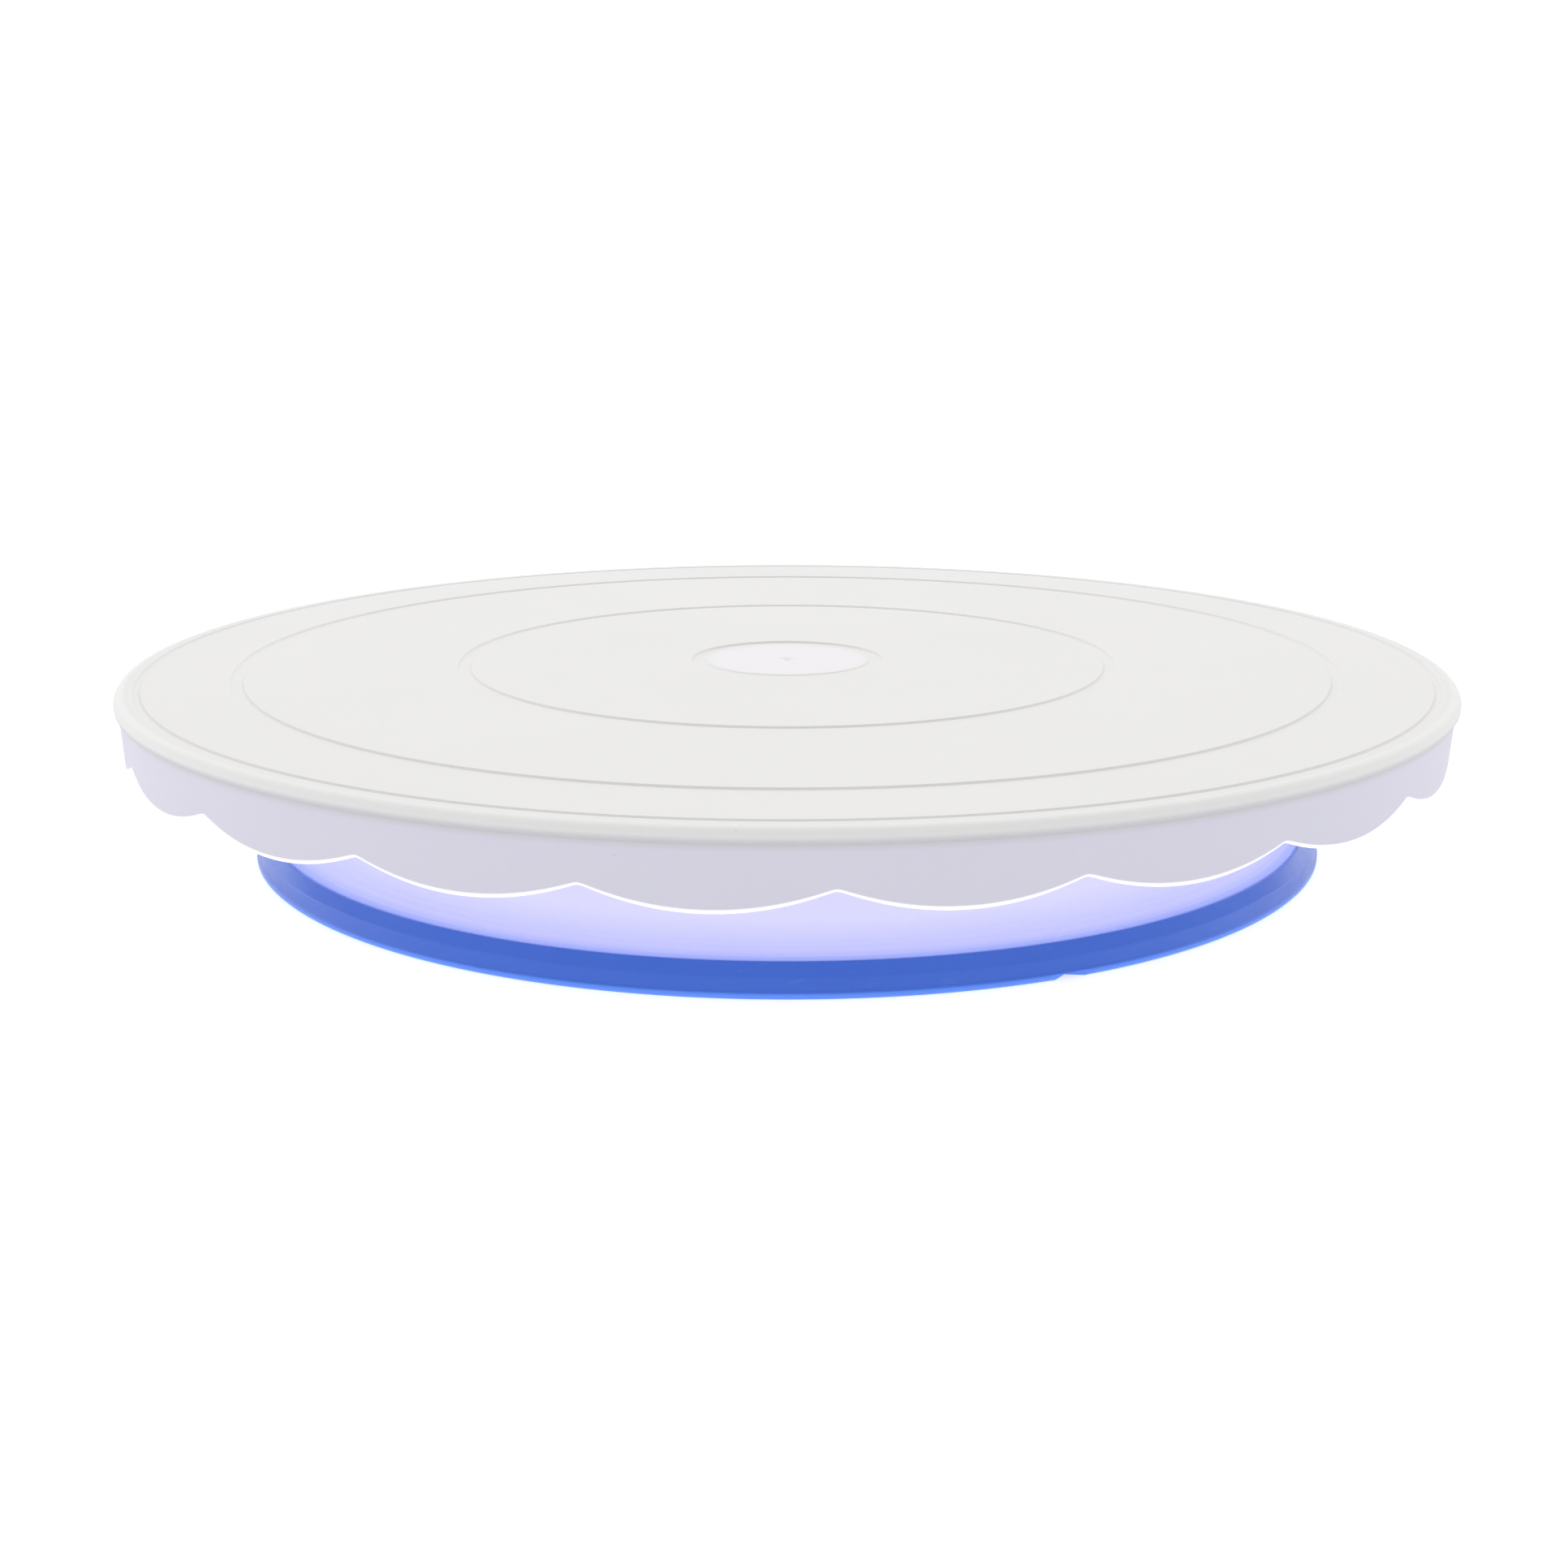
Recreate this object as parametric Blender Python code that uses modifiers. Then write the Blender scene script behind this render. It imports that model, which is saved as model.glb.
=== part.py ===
"""Cake turntable: a scalloped revolving plate on a shallow base, carried by a caged ball thrust bearing.

Metres, +Z up. The origin is on the standing surface, on the axis of rotation.
Every turned piece is an outline of (radius, height) points, swept round the axis by a Screw modifier.
"""

import math

import bmesh
import bpy
from mathutils import Matrix

# Overall sizes
OVERALL_HEIGHT = 0.0410
PLATE_DIAMETER = 0.3050
BASE_DIAMETER = 0.2478
FIT_GAP = 0.0003          # between faces that seat on each other

# Revolving plate
PLATE_WALL = 0.0026
RIM_HEIGHT = 0.0031
RIM_UPPER_ROLL = 0.0025   # height of the rounded rim above its widest line
RIM_ROLL = 0.0033         # how far the rounded rim reaches in over the top face
SKIRT_INSET = 0.0010      # the skirt stands this far in from the rim
SKIRT_WALL = 0.0020
SKIRT_EDGE_ROUND = 0.0006
SKIRT_DRAFT = 0.0007
SKIRT_DEPTH = 0.0161      # from the top face to the lowest point of a scallop
SCALLOP_COUNT = 21
SCALLOP_DEPTH = 0.0044
FIRST_CUSP_ANGLE = math.radians(-1.1)
CHANNEL_DEPTH = 0.00045
CHANNEL_SLOPE = 0.0003
SMALL_GUIDE_RADIUS = 0.0753    # middle of the channel round a 6 inch cake
LARGE_GUIDE_RADIUS = 0.1261    # middle of the channel round a 10 inch cake
GUIDE_WIDTH = 0.0030
RIM_CHANNEL_INSET = 0.0050     # from the rim's outside to the middle of the outermost channel
RIM_CHANNEL_WIDTH = 0.0016
CENTRE_RING_RADIUS = 0.0224
CENTRE_RING_WIDTH = 0.0033
CENTRE_DISC_DROP = 0.0002
PLATE_RIB_COUNT = 12
PLATE_RIB_WALL = 0.0014
PLATE_RIB_DEPTH = 0.0042
PLATE_HOOP_RADIUS = 0.0980

# Thrust bearing
BALL_COUNT = 16
BALL_DIAMETER = 0.0050
BALL_CIRCLE_RADIUS = 0.0310
BALL_PLAY = 0.0003
RACE_WIDTH = 0.0080
RACE_WALL = 0.0016        # behind the deepest point of the groove
GROOVE_DEPTH = 0.0006
RACE_SEAT_DEPTH = 0.0010
SEAT_DROP = 0.0040        # from the plate's underside to the seat of the upper race
CAGE_THICKNESS = 0.0020
CAGE_WALL = 0.0018        # beside a ball's pocket
DUST_WALL = 0.0018
DUST_GAP = 0.0028         # between the dust wall and the foot of the tower
DUST_LAP = 0.0030         # how far the dust wall hangs below the tower's top

# Pivot
SHOULDER_RADIUS = 0.0040
THREAD_RADIUS = 0.0022
THREAD_LENGTH = 0.0080
HEAD_RADIUS = 0.0080
HEAD_THICKNESS = 0.0033
SOCKET_RADIUS = 0.0025
SOCKET_DEPTH = 0.0020
BUSH_WALL = 0.0019
BUSH_FLANGE = 0.0007
BUSH_LENGTH = 0.0043
WASHER_THICKNESS = 0.0010
WASHER_OVERHANG = 0.0012
PLATE_BOSS_WALL = 0.0065

# Base
BASE_WALL = 0.0024
BASE_EDGE_HEIGHT = 0.0065  # height of the dish where the grip ring meets it
RIM_WALL = 0.0024
TOWER_SHOULDER = 0.0047    # from the race's seat to the tower's outer edge
TOWER_DRAFT = 0.0020
TOWER_STEP = 0.0070        # from the highest part of the dish up to the tower's top
DISH_CURVE = 1.25
BASE_RIB_COUNT = 8
BASE_RIB_WALL = 0.0018
BASE_RIB_LIFT = 0.0020     # clearance of the ribs above the standing surface at the edge
BASE_HOOP_RADIUS = 0.0800
BASE_HOOP_DEPTH = 0.0066
WELL_CLEARANCE = 0.0038    # round the screw's washer
WELL_WALL = 0.0020
WELL_FLOOR = 0.0050
PIVOT_BOSS_DEPTH = 0.0043
CAP_THICKNESS = 0.0011
CAP_SPIGOT = 0.0045
CAP_SPIGOT_WALL = 0.0015

# Grip ring
RING_WALL = 0.0038
RING_FOOT = 0.0013
RING_INNER_WALL = 0.0023
RING_INNER_HEIGHT = 0.0034
RING_LIP_HEIGHT = 0.0013
RING_LIP = 0.0003
RING_CHAMFER_DROP = 0.0021
RING_EDGE_ROUND = 0.0004
RING_NOTCH_WIDTH = 0.0066  # of the small V in the lip
RING_NOTCH_DEPTH = 0.0011
RING_NOTCH_ANGLE = math.radians(-64.5)

# Plate: heights and radii that follow from the sizes above
PLATE_RADIUS = PLATE_DIAMETER / 2
TOP = OVERALL_HEIGHT
PLATE_UNDERSIDE = TOP - PLATE_WALL
SKIRT_RADIUS = PLATE_RADIUS - SKIRT_INSET
SKIRT_LOW = TOP - SKIRT_DEPTH

# Bearing: from the plate's underside down to the tower that carries it
BALL_RADIUS = BALL_DIAMETER / 2
GROOVE_RADIUS = BALL_RADIUS + BALL_PLAY
RACE_FACE = GROOVE_RADIUS - GROOVE_DEPTH
RACE_BACK = GROOVE_RADIUS + RACE_WALL
UPPER_SEAT = PLATE_UNDERSIDE - SEAT_DROP
BEARING_HEIGHT = UPPER_SEAT - FIT_GAP - RACE_BACK
LOWER_SEAT = BEARING_HEIGHT - RACE_BACK - FIT_GAP
PAD_FACE = UPPER_SEAT - RACE_SEAT_DEPTH
SEAT_OUTER = BALL_CIRCLE_RADIUS + RACE_WIDTH / 2 + FIT_GAP
SEAT_INNER = BALL_CIRCLE_RADIUS - RACE_WIDTH / 2 - FIT_GAP
CAGE_WIDTH = BALL_DIAMETER + 2 * (BALL_PLAY + CAGE_WALL)
TOWER_TOP = LOWER_SEAT + RACE_SEAT_DEPTH
TOWER_UNDERSIDE = LOWER_SEAT - BASE_WALL
TOWER_RADIUS = SEAT_OUTER + TOWER_SHOULDER
DISH_RISE = TOWER_TOP - TOWER_STEP - BASE_EDGE_HEIGHT
DISH_FOOT_RADIUS = TOWER_RADIUS + TOWER_DRAFT
DUST_WALL_INSIDE = DISH_FOOT_RADIUS + DUST_GAP
DUST_WALL_LOW = TOWER_TOP - DUST_LAP

# Pivot: from the tower's top down to the screw's head
BUSH_BORE = SHOULDER_RADIUS + FIT_GAP
BUSH_RADIUS = BUSH_BORE + BUSH_WALL
BUSH_TOP = TOWER_TOP + FIT_GAP + BUSH_FLANGE
BOSS_END = BUSH_TOP + FIT_GAP
BOSS_BORE = THREAD_RADIUS + FIT_GAP
PLATE_BOSS_RADIUS = BOSS_BORE + PLATE_BOSS_WALL
PIVOT_BORE = BUSH_RADIUS + FIT_GAP
PIVOT_BOSS_RADIUS = PIVOT_BORE + BASE_WALL
PIVOT_BOSS_END = TOWER_TOP - PIVOT_BOSS_DEPTH
WASHER_TOP = PIVOT_BOSS_END - FIT_GAP
WASHER_RADIUS = HEAD_RADIUS + WASHER_OVERHANG
HEAD_TOP = WASHER_TOP - WASHER_THICKNESS - FIT_GAP
WELL_RADIUS = WASHER_RADIUS + WELL_CLEARANCE

# Base edge and grip ring: from the outside in
BASE_RADIUS = BASE_DIAMETER / 2
RING_INSIDE = BASE_RADIUS - RING_WALL
RIM_WALL_RADIUS = RING_INSIDE - FIT_GAP
RIM_WALL_INSIDE = RIM_WALL_RADIUS - RIM_WALL
RIM_WALL_FOOT = RING_FOOT + FIT_GAP
RING_FOOT_INSIDE = RIM_WALL_INSIDE - FIT_GAP - RING_INNER_WALL

# Distances below which points count as one
ON_AXIS = 0.000001
SAME_POINT = 0.000001
SWEEP_SEAM = 0.00001

# Facets round the axis
PLATE_STEPS = SCALLOP_COUNT * 6
CHANNEL_STEPS = SCALLOP_COUNT * 3
BASE_STEPS = 64
BEARING_STEPS = 32
PIVOT_STEPS = 24

# The sub-parts go in one collection, and the shapes that only cut or join them in the other
for leftover in list(bpy.data.objects):
    bpy.data.objects.remove(leftover)
parts = bpy.data.collections.new("cake_turntable")
cutters = bpy.data.collections.new("cutters")
for group in (parts, cutters):
    bpy.context.scene.collection.children.link(group)


def material(name, colour, roughness, metallic=0.0):
    finish = bpy.data.materials.new(name)
    finish.use_nodes = True
    shader = finish.node_tree.nodes["Principled BSDF"]
    shader.inputs["Base Color"].default_value = (*colour, 1.0)
    shader.inputs["Roughness"].default_value = roughness
    shader.inputs["Metallic"].default_value = metallic
    finish.diffuse_color = (*colour, 1.0)
    return finish


def evaluated_mesh(source):
    """The mesh of an object with its modifiers done, in world space; the object is removed."""
    bpy.context.view_layer.update()
    mesh = bpy.data.meshes.new_from_object(source.evaluated_get(bpy.context.evaluated_depsgraph_get()))
    mesh.transform(source.matrix_world)
    bpy.data.objects.remove(source)
    return mesh


def turned(outline, steps, closed=False):
    """A mesh swept from (radius, height) points that run down the outer side."""
    mesh = bpy.data.meshes.new("outline")
    count = len(outline)
    edges = [(i, (i + 1) % count) for i in range(count if closed else count - 1)]
    mesh.from_pydata([(radius, 0.0, height) for radius, height in outline], edges, [])
    sweep_object = bpy.data.objects.new("outline", mesh)
    cutters.objects.link(sweep_object)
    sweep = sweep_object.modifiers.new("sweep", "SCREW")
    sweep.axis = "Z"
    sweep.steps = steps
    sweep.render_steps = steps
    sweep.use_merge_vertices = True
    sweep.merge_threshold = SWEEP_SEAM
    mesh = evaluated_mesh(sweep_object)
    make_ends_whole(mesh)
    return mesh


def make_ends_whole(mesh):
    """Turns the fan of triangles round each end of the axis into one flat face."""
    work = bmesh.new()
    work.from_mesh(mesh)
    poles = [vertex for vertex in work.verts if vertex.co.xy.length < ON_AXIS]
    bmesh.ops.dissolve_verts(work, verts=poles)
    work.to_mesh(mesh)
    work.free()


def flat_bar(outline, thickness):
    """A flat bar standing in the XZ plane, with an outline of (x, z) points."""
    curve = bpy.data.curves.new("bar", "CURVE")
    curve.dimensions = "2D"
    curve.fill_mode = "BOTH"
    curve.extrude = thickness / 2
    spline = curve.splines.new("POLY")
    spline.points.add(len(outline) - 1)
    for point, (x, z) in zip(spline.points, outline):
        point.co = (x, z, 0.0, 1.0)
    spline.use_cyclic_u = True
    bar = bpy.data.objects.new("bar", curve)
    bar.rotation_euler = (math.radians(90), 0.0, 0.0)
    cutters.objects.link(bar)
    mesh = evaluated_mesh(bar)
    weld(mesh)
    return mesh


def weld(mesh):
    work = bmesh.new()
    work.from_mesh(mesh)
    bmesh.ops.remove_doubles(work, verts=work.verts, dist=SAME_POINT)
    bmesh.ops.recalc_face_normals(work, faces=work.faces)
    work.to_mesh(mesh)
    work.free()


def round_the_axis(mesh, count, start=0.0):
    """One mesh with copies of another, spaced evenly round the axis."""
    work = bmesh.new()
    for index in range(count):
        copy = mesh.copy()
        copy.transform(Matrix.Rotation(start + index * math.tau / count, 4, "Z"))
        work.from_mesh(copy)
        bpy.data.meshes.remove(copy)
    ring = bpy.data.meshes.new("ring")
    work.to_mesh(ring)
    work.free()
    return ring


def piece(name, mesh, finish, parent=None):
    """A finished sub-part, shaded smooth except at its edges."""
    mesh.name = name
    thing = bpy.data.objects.new(name, mesh)
    parts.objects.link(thing)
    mesh.materials.clear()
    mesh.materials.append(finish)
    mesh.shade_smooth()
    mesh.set_sharp_from_angle(angle=math.radians(35))
    thing.parent = parent
    return thing


def tool(name, mesh):
    """A shape that only cuts or joins another."""
    thing = bpy.data.objects.new(name, mesh)
    cutters.objects.link(thing)
    thing.hide_render = True
    thing.display_type = "WIRE"
    return thing


def combine(target, shape, operation):
    step = target.modifiers.new(shape.name, "BOOLEAN")
    step.operation = operation
    step.object = shape
    step.solver = "EXACT"


def axis_empty(name):
    empty = bpy.data.objects.new(name, None)
    parts.objects.link(empty)
    return empty


def quarter(centre, reach, start_turn, points):
    """Points on a quarter ellipse, clockwise from start_turn (0 is straight up, 1 is outward)."""
    found = []
    for index in range(points + 1):
        angle = (start_turn + index / points) * math.pi / 2
        found.append((centre[0] + reach[0] * math.sin(angle), centre[1] + reach[1] * math.cos(angle)))
    return found


def channel(middle, width, depth):
    """The cutter of a shallow channel in the top face."""
    inner = middle - width / 2
    outer = middle + width / 2
    return turned([(inner, TOP + depth), (outer, TOP + depth), (outer, TOP),
                   (outer - CHANNEL_SLOPE, TOP - depth), (inner + CHANNEL_SLOPE, TOP - depth), (inner, TOP)],
                  CHANNEL_STEPS, closed=True)


def hoop(radius, wall, top, low, steps):
    """A round rib about the axis."""
    inner = radius - wall / 2
    outer = radius + wall / 2
    return turned([(inner, top), (outer, top), (outer, low), (inner, low)], steps, closed=True)


def scallop_lift(angle):
    """How far the skirt's lower edge rises above its lowest point, for lobes that are circle arcs."""
    half_lobe = math.pi * SKIRT_RADIUS / SCALLOP_COUNT
    lobe_radius = (half_lobe ** 2 + SCALLOP_DEPTH ** 2) / (2 * SCALLOP_DEPTH)
    turn = (angle * SCALLOP_COUNT / math.tau) % 1.0
    along = (turn - 0.5) * 2 * half_lobe
    return lobe_radius - math.sqrt(lobe_radius ** 2 - along ** 2)


def scallop(mesh):
    """Draws the skirt up between its lobes, in proportion to the distance below the rim."""
    skirt_top = TOP - RIM_HEIGHT
    for vertex in mesh.vertices:
        radius = math.hypot(vertex.co.x, vertex.co.y)
        if radius > SKIRT_RADIUS - 2 * SKIRT_WALL and vertex.co.z < skirt_top:
            share = (skirt_top - vertex.co.z) / (skirt_top - SKIRT_LOW)
            vertex.co.z += share * scallop_lift(math.atan2(vertex.co.y, vertex.co.x))


def plate_outline():
    """The disc, its rolled rim and the skirt."""
    upper_roll = RIM_UPPER_ROLL
    lower_roll = RIM_HEIGHT - upper_roll
    outline = [(0.0, TOP)]
    outline += quarter((PLATE_RADIUS - RIM_ROLL, TOP - upper_roll), (RIM_ROLL, upper_roll), 0, 3)
    outline += quarter((SKIRT_RADIUS, TOP - upper_roll), (SKIRT_INSET, lower_roll), 1, 2)[1:]

    edge = SKIRT_EDGE_ROUND
    foot_outer = SKIRT_RADIUS - SKIRT_DRAFT
    foot_inner = foot_outer - SKIRT_WALL
    outline += [(foot_outer, SKIRT_LOW + edge), (foot_outer - edge, SKIRT_LOW), (foot_inner, SKIRT_LOW),
                (foot_inner, PLATE_UNDERSIDE), (0.0, PLATE_UNDERSIDE)]
    return outline


def plate_hub():
    """The dust wall, the pad that seats the upper race, and the screw's boss, under the disc."""
    root = PLATE_UNDERSIDE + PLATE_WALL / 2
    wall_outer = DUST_WALL_INSIDE + DUST_WALL
    pad_outer = SEAT_OUTER + PLATE_WALL
    pad_inner = SEAT_INNER - PLATE_WALL
    bore_end = BOSS_END + THREAD_LENGTH + FIT_GAP
    return turned([(0.0, root), (wall_outer, root), (wall_outer, DUST_WALL_LOW),
                   (DUST_WALL_INSIDE, DUST_WALL_LOW), (DUST_WALL_INSIDE, PLATE_UNDERSIDE),
                   (pad_outer, PLATE_UNDERSIDE), (pad_outer, PAD_FACE),
                   (SEAT_OUTER, PAD_FACE), (SEAT_OUTER, UPPER_SEAT), (SEAT_INNER, UPPER_SEAT),
                   (SEAT_INNER, PAD_FACE), (pad_inner, PAD_FACE), (pad_inner, PLATE_UNDERSIDE),
                   (PLATE_BOSS_RADIUS, PLATE_UNDERSIDE), (PLATE_BOSS_RADIUS, BOSS_END),
                   (BOSS_BORE, BOSS_END), (BOSS_BORE, bore_end), (0.0, bore_end)], BEARING_STEPS)


def plate_ribs():
    """Radial ribs under the disc, deeper at the hub than at the skirt."""
    inner = DUST_WALL_INSIDE + DUST_WALL / 2
    outer = SKIRT_RADIUS - SKIRT_DRAFT - SKIRT_WALL / 2
    root = PLATE_UNDERSIDE + PLATE_WALL / 2
    bar = flat_bar([(inner, root), (outer, root), (outer, PLATE_UNDERSIDE - PLATE_RIB_DEPTH / 2),
                    (inner, PLATE_UNDERSIDE - PLATE_RIB_DEPTH)], PLATE_RIB_WALL)
    return round_the_axis(bar, PLATE_RIB_COUNT, math.pi / PLATE_RIB_COUNT)


def centre_recess():
    """The cutter of the disc in the middle of the top face and of the deeper ring round it."""
    inner = CENTRE_RING_RADIUS - CENTRE_RING_WIDTH
    disc = TOP - CENTRE_DISC_DROP
    floor = TOP - CHANNEL_DEPTH
    return turned([(0.0, TOP + CHANNEL_DEPTH), (CENTRE_RING_RADIUS, TOP + CHANNEL_DEPTH),
                   (CENTRE_RING_RADIUS, TOP), (CENTRE_RING_RADIUS - CHANNEL_SLOPE, floor),
                   (inner + CHANNEL_SLOPE, floor), (inner, disc), (0.0, disc)], BEARING_STEPS)


def make_plate(finish, parent):
    mesh = turned(plate_outline(), PLATE_STEPS)
    scallop(mesh)
    plate = piece("turntable_plate", mesh, finish, parent)
    root = PLATE_UNDERSIDE + PLATE_WALL / 2
    combine(plate, tool("plate_hub", plate_hub()), "UNION")
    combine(plate, tool("plate_ribs", plate_ribs()), "UNION")
    hoop_low = PLATE_UNDERSIDE - PLATE_RIB_DEPTH
    plate_hoop = hoop(PLATE_HOOP_RADIUS, PLATE_RIB_WALL, root, hoop_low, CHANNEL_STEPS)
    combine(plate, tool("plate_hoop", plate_hoop), "UNION")
    combine(plate, tool("centre_recess", centre_recess()), "DIFFERENCE")
    for middle, width in ((SMALL_GUIDE_RADIUS, GUIDE_WIDTH), (LARGE_GUIDE_RADIUS, GUIDE_WIDTH),
                          (PLATE_RADIUS - RIM_CHANNEL_INSET, RIM_CHANNEL_WIDTH)):
        combine(plate, tool("channel", channel(middle, width, CHANNEL_DEPTH)), "DIFFERENCE")
    return plate


def dish_height(radius):
    """Height of the base's upper surface outside the tower."""
    share = (RIM_WALL_RADIUS - radius) / (RIM_WALL_RADIUS - DISH_FOOT_RADIUS)
    return BASE_EDGE_HEIGHT + DISH_RISE * max(share, 0.0) ** DISH_CURVE


def spaced(start, end, count):
    return [start + (end - start) * index / count for index in range(count + 1)]


def dish_outline():
    """The dish from the tower's foot to the rim wall."""
    inner = DISH_FOOT_RADIUS - BASE_WALL
    outline = [(inner, dish_height(DISH_FOOT_RADIUS))]
    outline += [(radius, dish_height(radius)) for radius in spaced(DISH_FOOT_RADIUS, RIM_WALL_RADIUS, 4)]
    outline += [(RIM_WALL_RADIUS, RIM_WALL_FOOT), (RIM_WALL_INSIDE, RIM_WALL_FOOT)]
    outline += [(radius, dish_height(radius) - BASE_WALL) for radius in spaced(RIM_WALL_INSIDE, inner, 3)]
    return outline


def base_tower():
    """The raised middle: the lower race's seat, the pivot's bore and the well under it."""
    foot = dish_height(DISH_FOOT_RADIUS) - BASE_WALL / 2
    well_outer = WELL_RADIUS + WELL_WALL
    return turned([(PIVOT_BORE, TOWER_TOP), (SEAT_INNER, TOWER_TOP), (SEAT_INNER, LOWER_SEAT),
                   (SEAT_OUTER, LOWER_SEAT), (SEAT_OUTER, TOWER_TOP), (TOWER_RADIUS, TOWER_TOP),
                   (DISH_FOOT_RADIUS, foot), (DISH_FOOT_RADIUS - BASE_WALL, foot),
                   (TOWER_RADIUS - BASE_WALL, TOWER_UNDERSIDE), (well_outer, TOWER_UNDERSIDE),
                   (well_outer, WELL_FLOOR), (WELL_RADIUS, WELL_FLOOR), (WELL_RADIUS, TOWER_UNDERSIDE),
                   (PIVOT_BOSS_RADIUS, TOWER_UNDERSIDE), (PIVOT_BOSS_RADIUS, PIVOT_BOSS_END),
                   (PIVOT_BORE, PIVOT_BOSS_END)], BEARING_STEPS, closed=True)


def base_ribs():
    """Radial ribs that follow the underside of the dish, from the well to the grip ring."""
    inner = WELL_RADIUS + WELL_WALL / 2
    outer = RING_FOOT_INSIDE - FIT_GAP
    middle = BASE_WALL / 2
    outline = [(inner, WELL_FLOOR + WELL_WALL), (inner, TOWER_UNDERSIDE + middle),
               (TOWER_RADIUS - middle, TOWER_UNDERSIDE + middle)]
    outline += [(radius, dish_height(radius) - middle) for radius in spaced(DISH_FOOT_RADIUS, outer, 6)]
    outline.append((outer, BASE_RIB_LIFT))
    bar = flat_bar(outline, BASE_RIB_WALL)
    return round_the_axis(bar, BASE_RIB_COUNT, math.pi / BASE_RIB_COUNT)


def make_base(finish, parent):
    base = piece("base_shell", turned(dish_outline(), BASE_STEPS, closed=True), finish, parent)
    hoop_top = dish_height(BASE_HOOP_RADIUS) - BASE_WALL / 2
    base_hoop = hoop(BASE_HOOP_RADIUS, BASE_RIB_WALL, hoop_top, hoop_top - BASE_HOOP_DEPTH, BEARING_STEPS)
    combine(base, tool("base_tower", base_tower()), "UNION")
    combine(base, tool("base_ribs", base_ribs()), "UNION")
    combine(base, tool("base_hoop", base_hoop), "UNION")
    return base


def ring_outline():
    """A U that hooks under the base's rim wall: chamfered outside, with a lip at the foot."""
    lip = BASE_RADIUS
    wall = lip - RING_LIP
    shoulder = BASE_EDGE_HEIGHT - RING_CHAMFER_DROP
    inner_wall = RIM_WALL_INSIDE - FIT_GAP
    edge = RING_EDGE_ROUND
    return [(RING_INSIDE, BASE_EDGE_HEIGHT), (RING_INSIDE + edge, BASE_EDGE_HEIGHT),
            (wall - 3 * edge, shoulder + edge), (wall - edge, shoulder - edge),
            (wall, RING_LIP_HEIGHT + RING_LIP), (lip, RING_LIP_HEIGHT),
            (lip, RING_LIP_HEIGHT / 2), (lip - 2 * edge, 0.0),
            (RING_FOOT_INSIDE + edge, 0.0), (RING_FOOT_INSIDE, edge),
            (RING_FOOT_INSIDE, RING_INNER_HEIGHT - edge), (RING_FOOT_INSIDE + edge, RING_INNER_HEIGHT),
            (inner_wall, RING_INNER_HEIGHT), (inner_wall, RING_FOOT), (RING_INSIDE, RING_FOOT)]


def ring_notch():
    """A four-sided prism whose stretched corner cuts a shallow V across the lip."""
    reach = 2 * RING_NOTCH_DEPTH
    notch = turned([(0.0, RING_LIP_HEIGHT), (reach, RING_LIP_HEIGHT), (reach, -reach), (0.0, -reach)], 4)
    notch.transform(Matrix.Diagonal((1.0, RING_NOTCH_WIDTH / (2 * RING_NOTCH_DEPTH), 1.0, 1.0)))
    notch.transform(Matrix.Translation((BASE_RADIUS + RING_NOTCH_DEPTH, 0.0, 0.0)))
    notch.transform(Matrix.Rotation(RING_NOTCH_ANGLE, 4, "Z"))
    return notch


def make_grip_ring(finish, parent):
    ring = piece("grip_ring", turned(ring_outline(), BASE_STEPS, closed=True), finish, parent)
    combine(ring, tool("ring_notch", ring_notch()), "DIFFERENCE")


def race_outline(towards):
    """A race whose groove faces the balls; towards is 1 for the upper race and -1 for the lower."""
    inner = BALL_CIRCLE_RADIUS - RACE_WIDTH / 2
    outer = BALL_CIRCLE_RADIUS + RACE_WIDTH / 2
    half_groove = math.acos(RACE_FACE / GROOVE_RADIUS)
    groove = [(BALL_CIRCLE_RADIUS + GROOVE_RADIUS * math.sin(angle),
               BEARING_HEIGHT + towards * GROOVE_RADIUS * math.cos(angle))
              for angle in spaced(half_groove, -half_groove, 4)]
    back = BEARING_HEIGHT + towards * RACE_BACK
    face = BEARING_HEIGHT + towards * RACE_FACE
    outline = [(inner, back), (outer, back), (outer, face)] + groove + [(inner, face)]
    return outline if towards > 0 else outline[::-1]


def make_cage(finish, parent):
    inner = BALL_CIRCLE_RADIUS - CAGE_WIDTH / 2
    outer = BALL_CIRCLE_RADIUS + CAGE_WIDTH / 2
    low = BEARING_HEIGHT - CAGE_THICKNESS / 2
    high = BEARING_HEIGHT + CAGE_THICKNESS / 2
    cage = piece("ball_cage", turned([(inner, high), (outer, high), (outer, low), (inner, low)],
                                     BEARING_STEPS, closed=True), finish, parent)
    pocket = turned([(0.0, high + CAGE_THICKNESS), (BALL_RADIUS + BALL_PLAY, high + CAGE_THICKNESS),
                     (BALL_RADIUS + BALL_PLAY, low - CAGE_THICKNESS), (0.0, low - CAGE_THICKNESS)], 12)
    pocket.transform(Matrix.Translation((BALL_CIRCLE_RADIUS, 0.0, 0.0)))
    combine(cage, tool("ball_pockets", round_the_axis(pocket, BALL_COUNT)), "DIFFERENCE")
    return cage


def make_balls(finish, parent):
    ball = bpy.data.meshes.new("ball")
    work = bmesh.new()
    bmesh.ops.create_uvsphere(work, u_segments=10, v_segments=6, radius=BALL_RADIUS)
    work.to_mesh(ball)
    work.free()
    for index in range(BALL_COUNT):
        angle = index * math.tau / BALL_COUNT
        thing = piece(f"ball_{index + 1:02d}", ball.copy(), finish, parent)
        thing.location = (BALL_CIRCLE_RADIUS * math.cos(angle), BALL_CIRCLE_RADIUS * math.sin(angle),
                          BEARING_HEIGHT)


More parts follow.
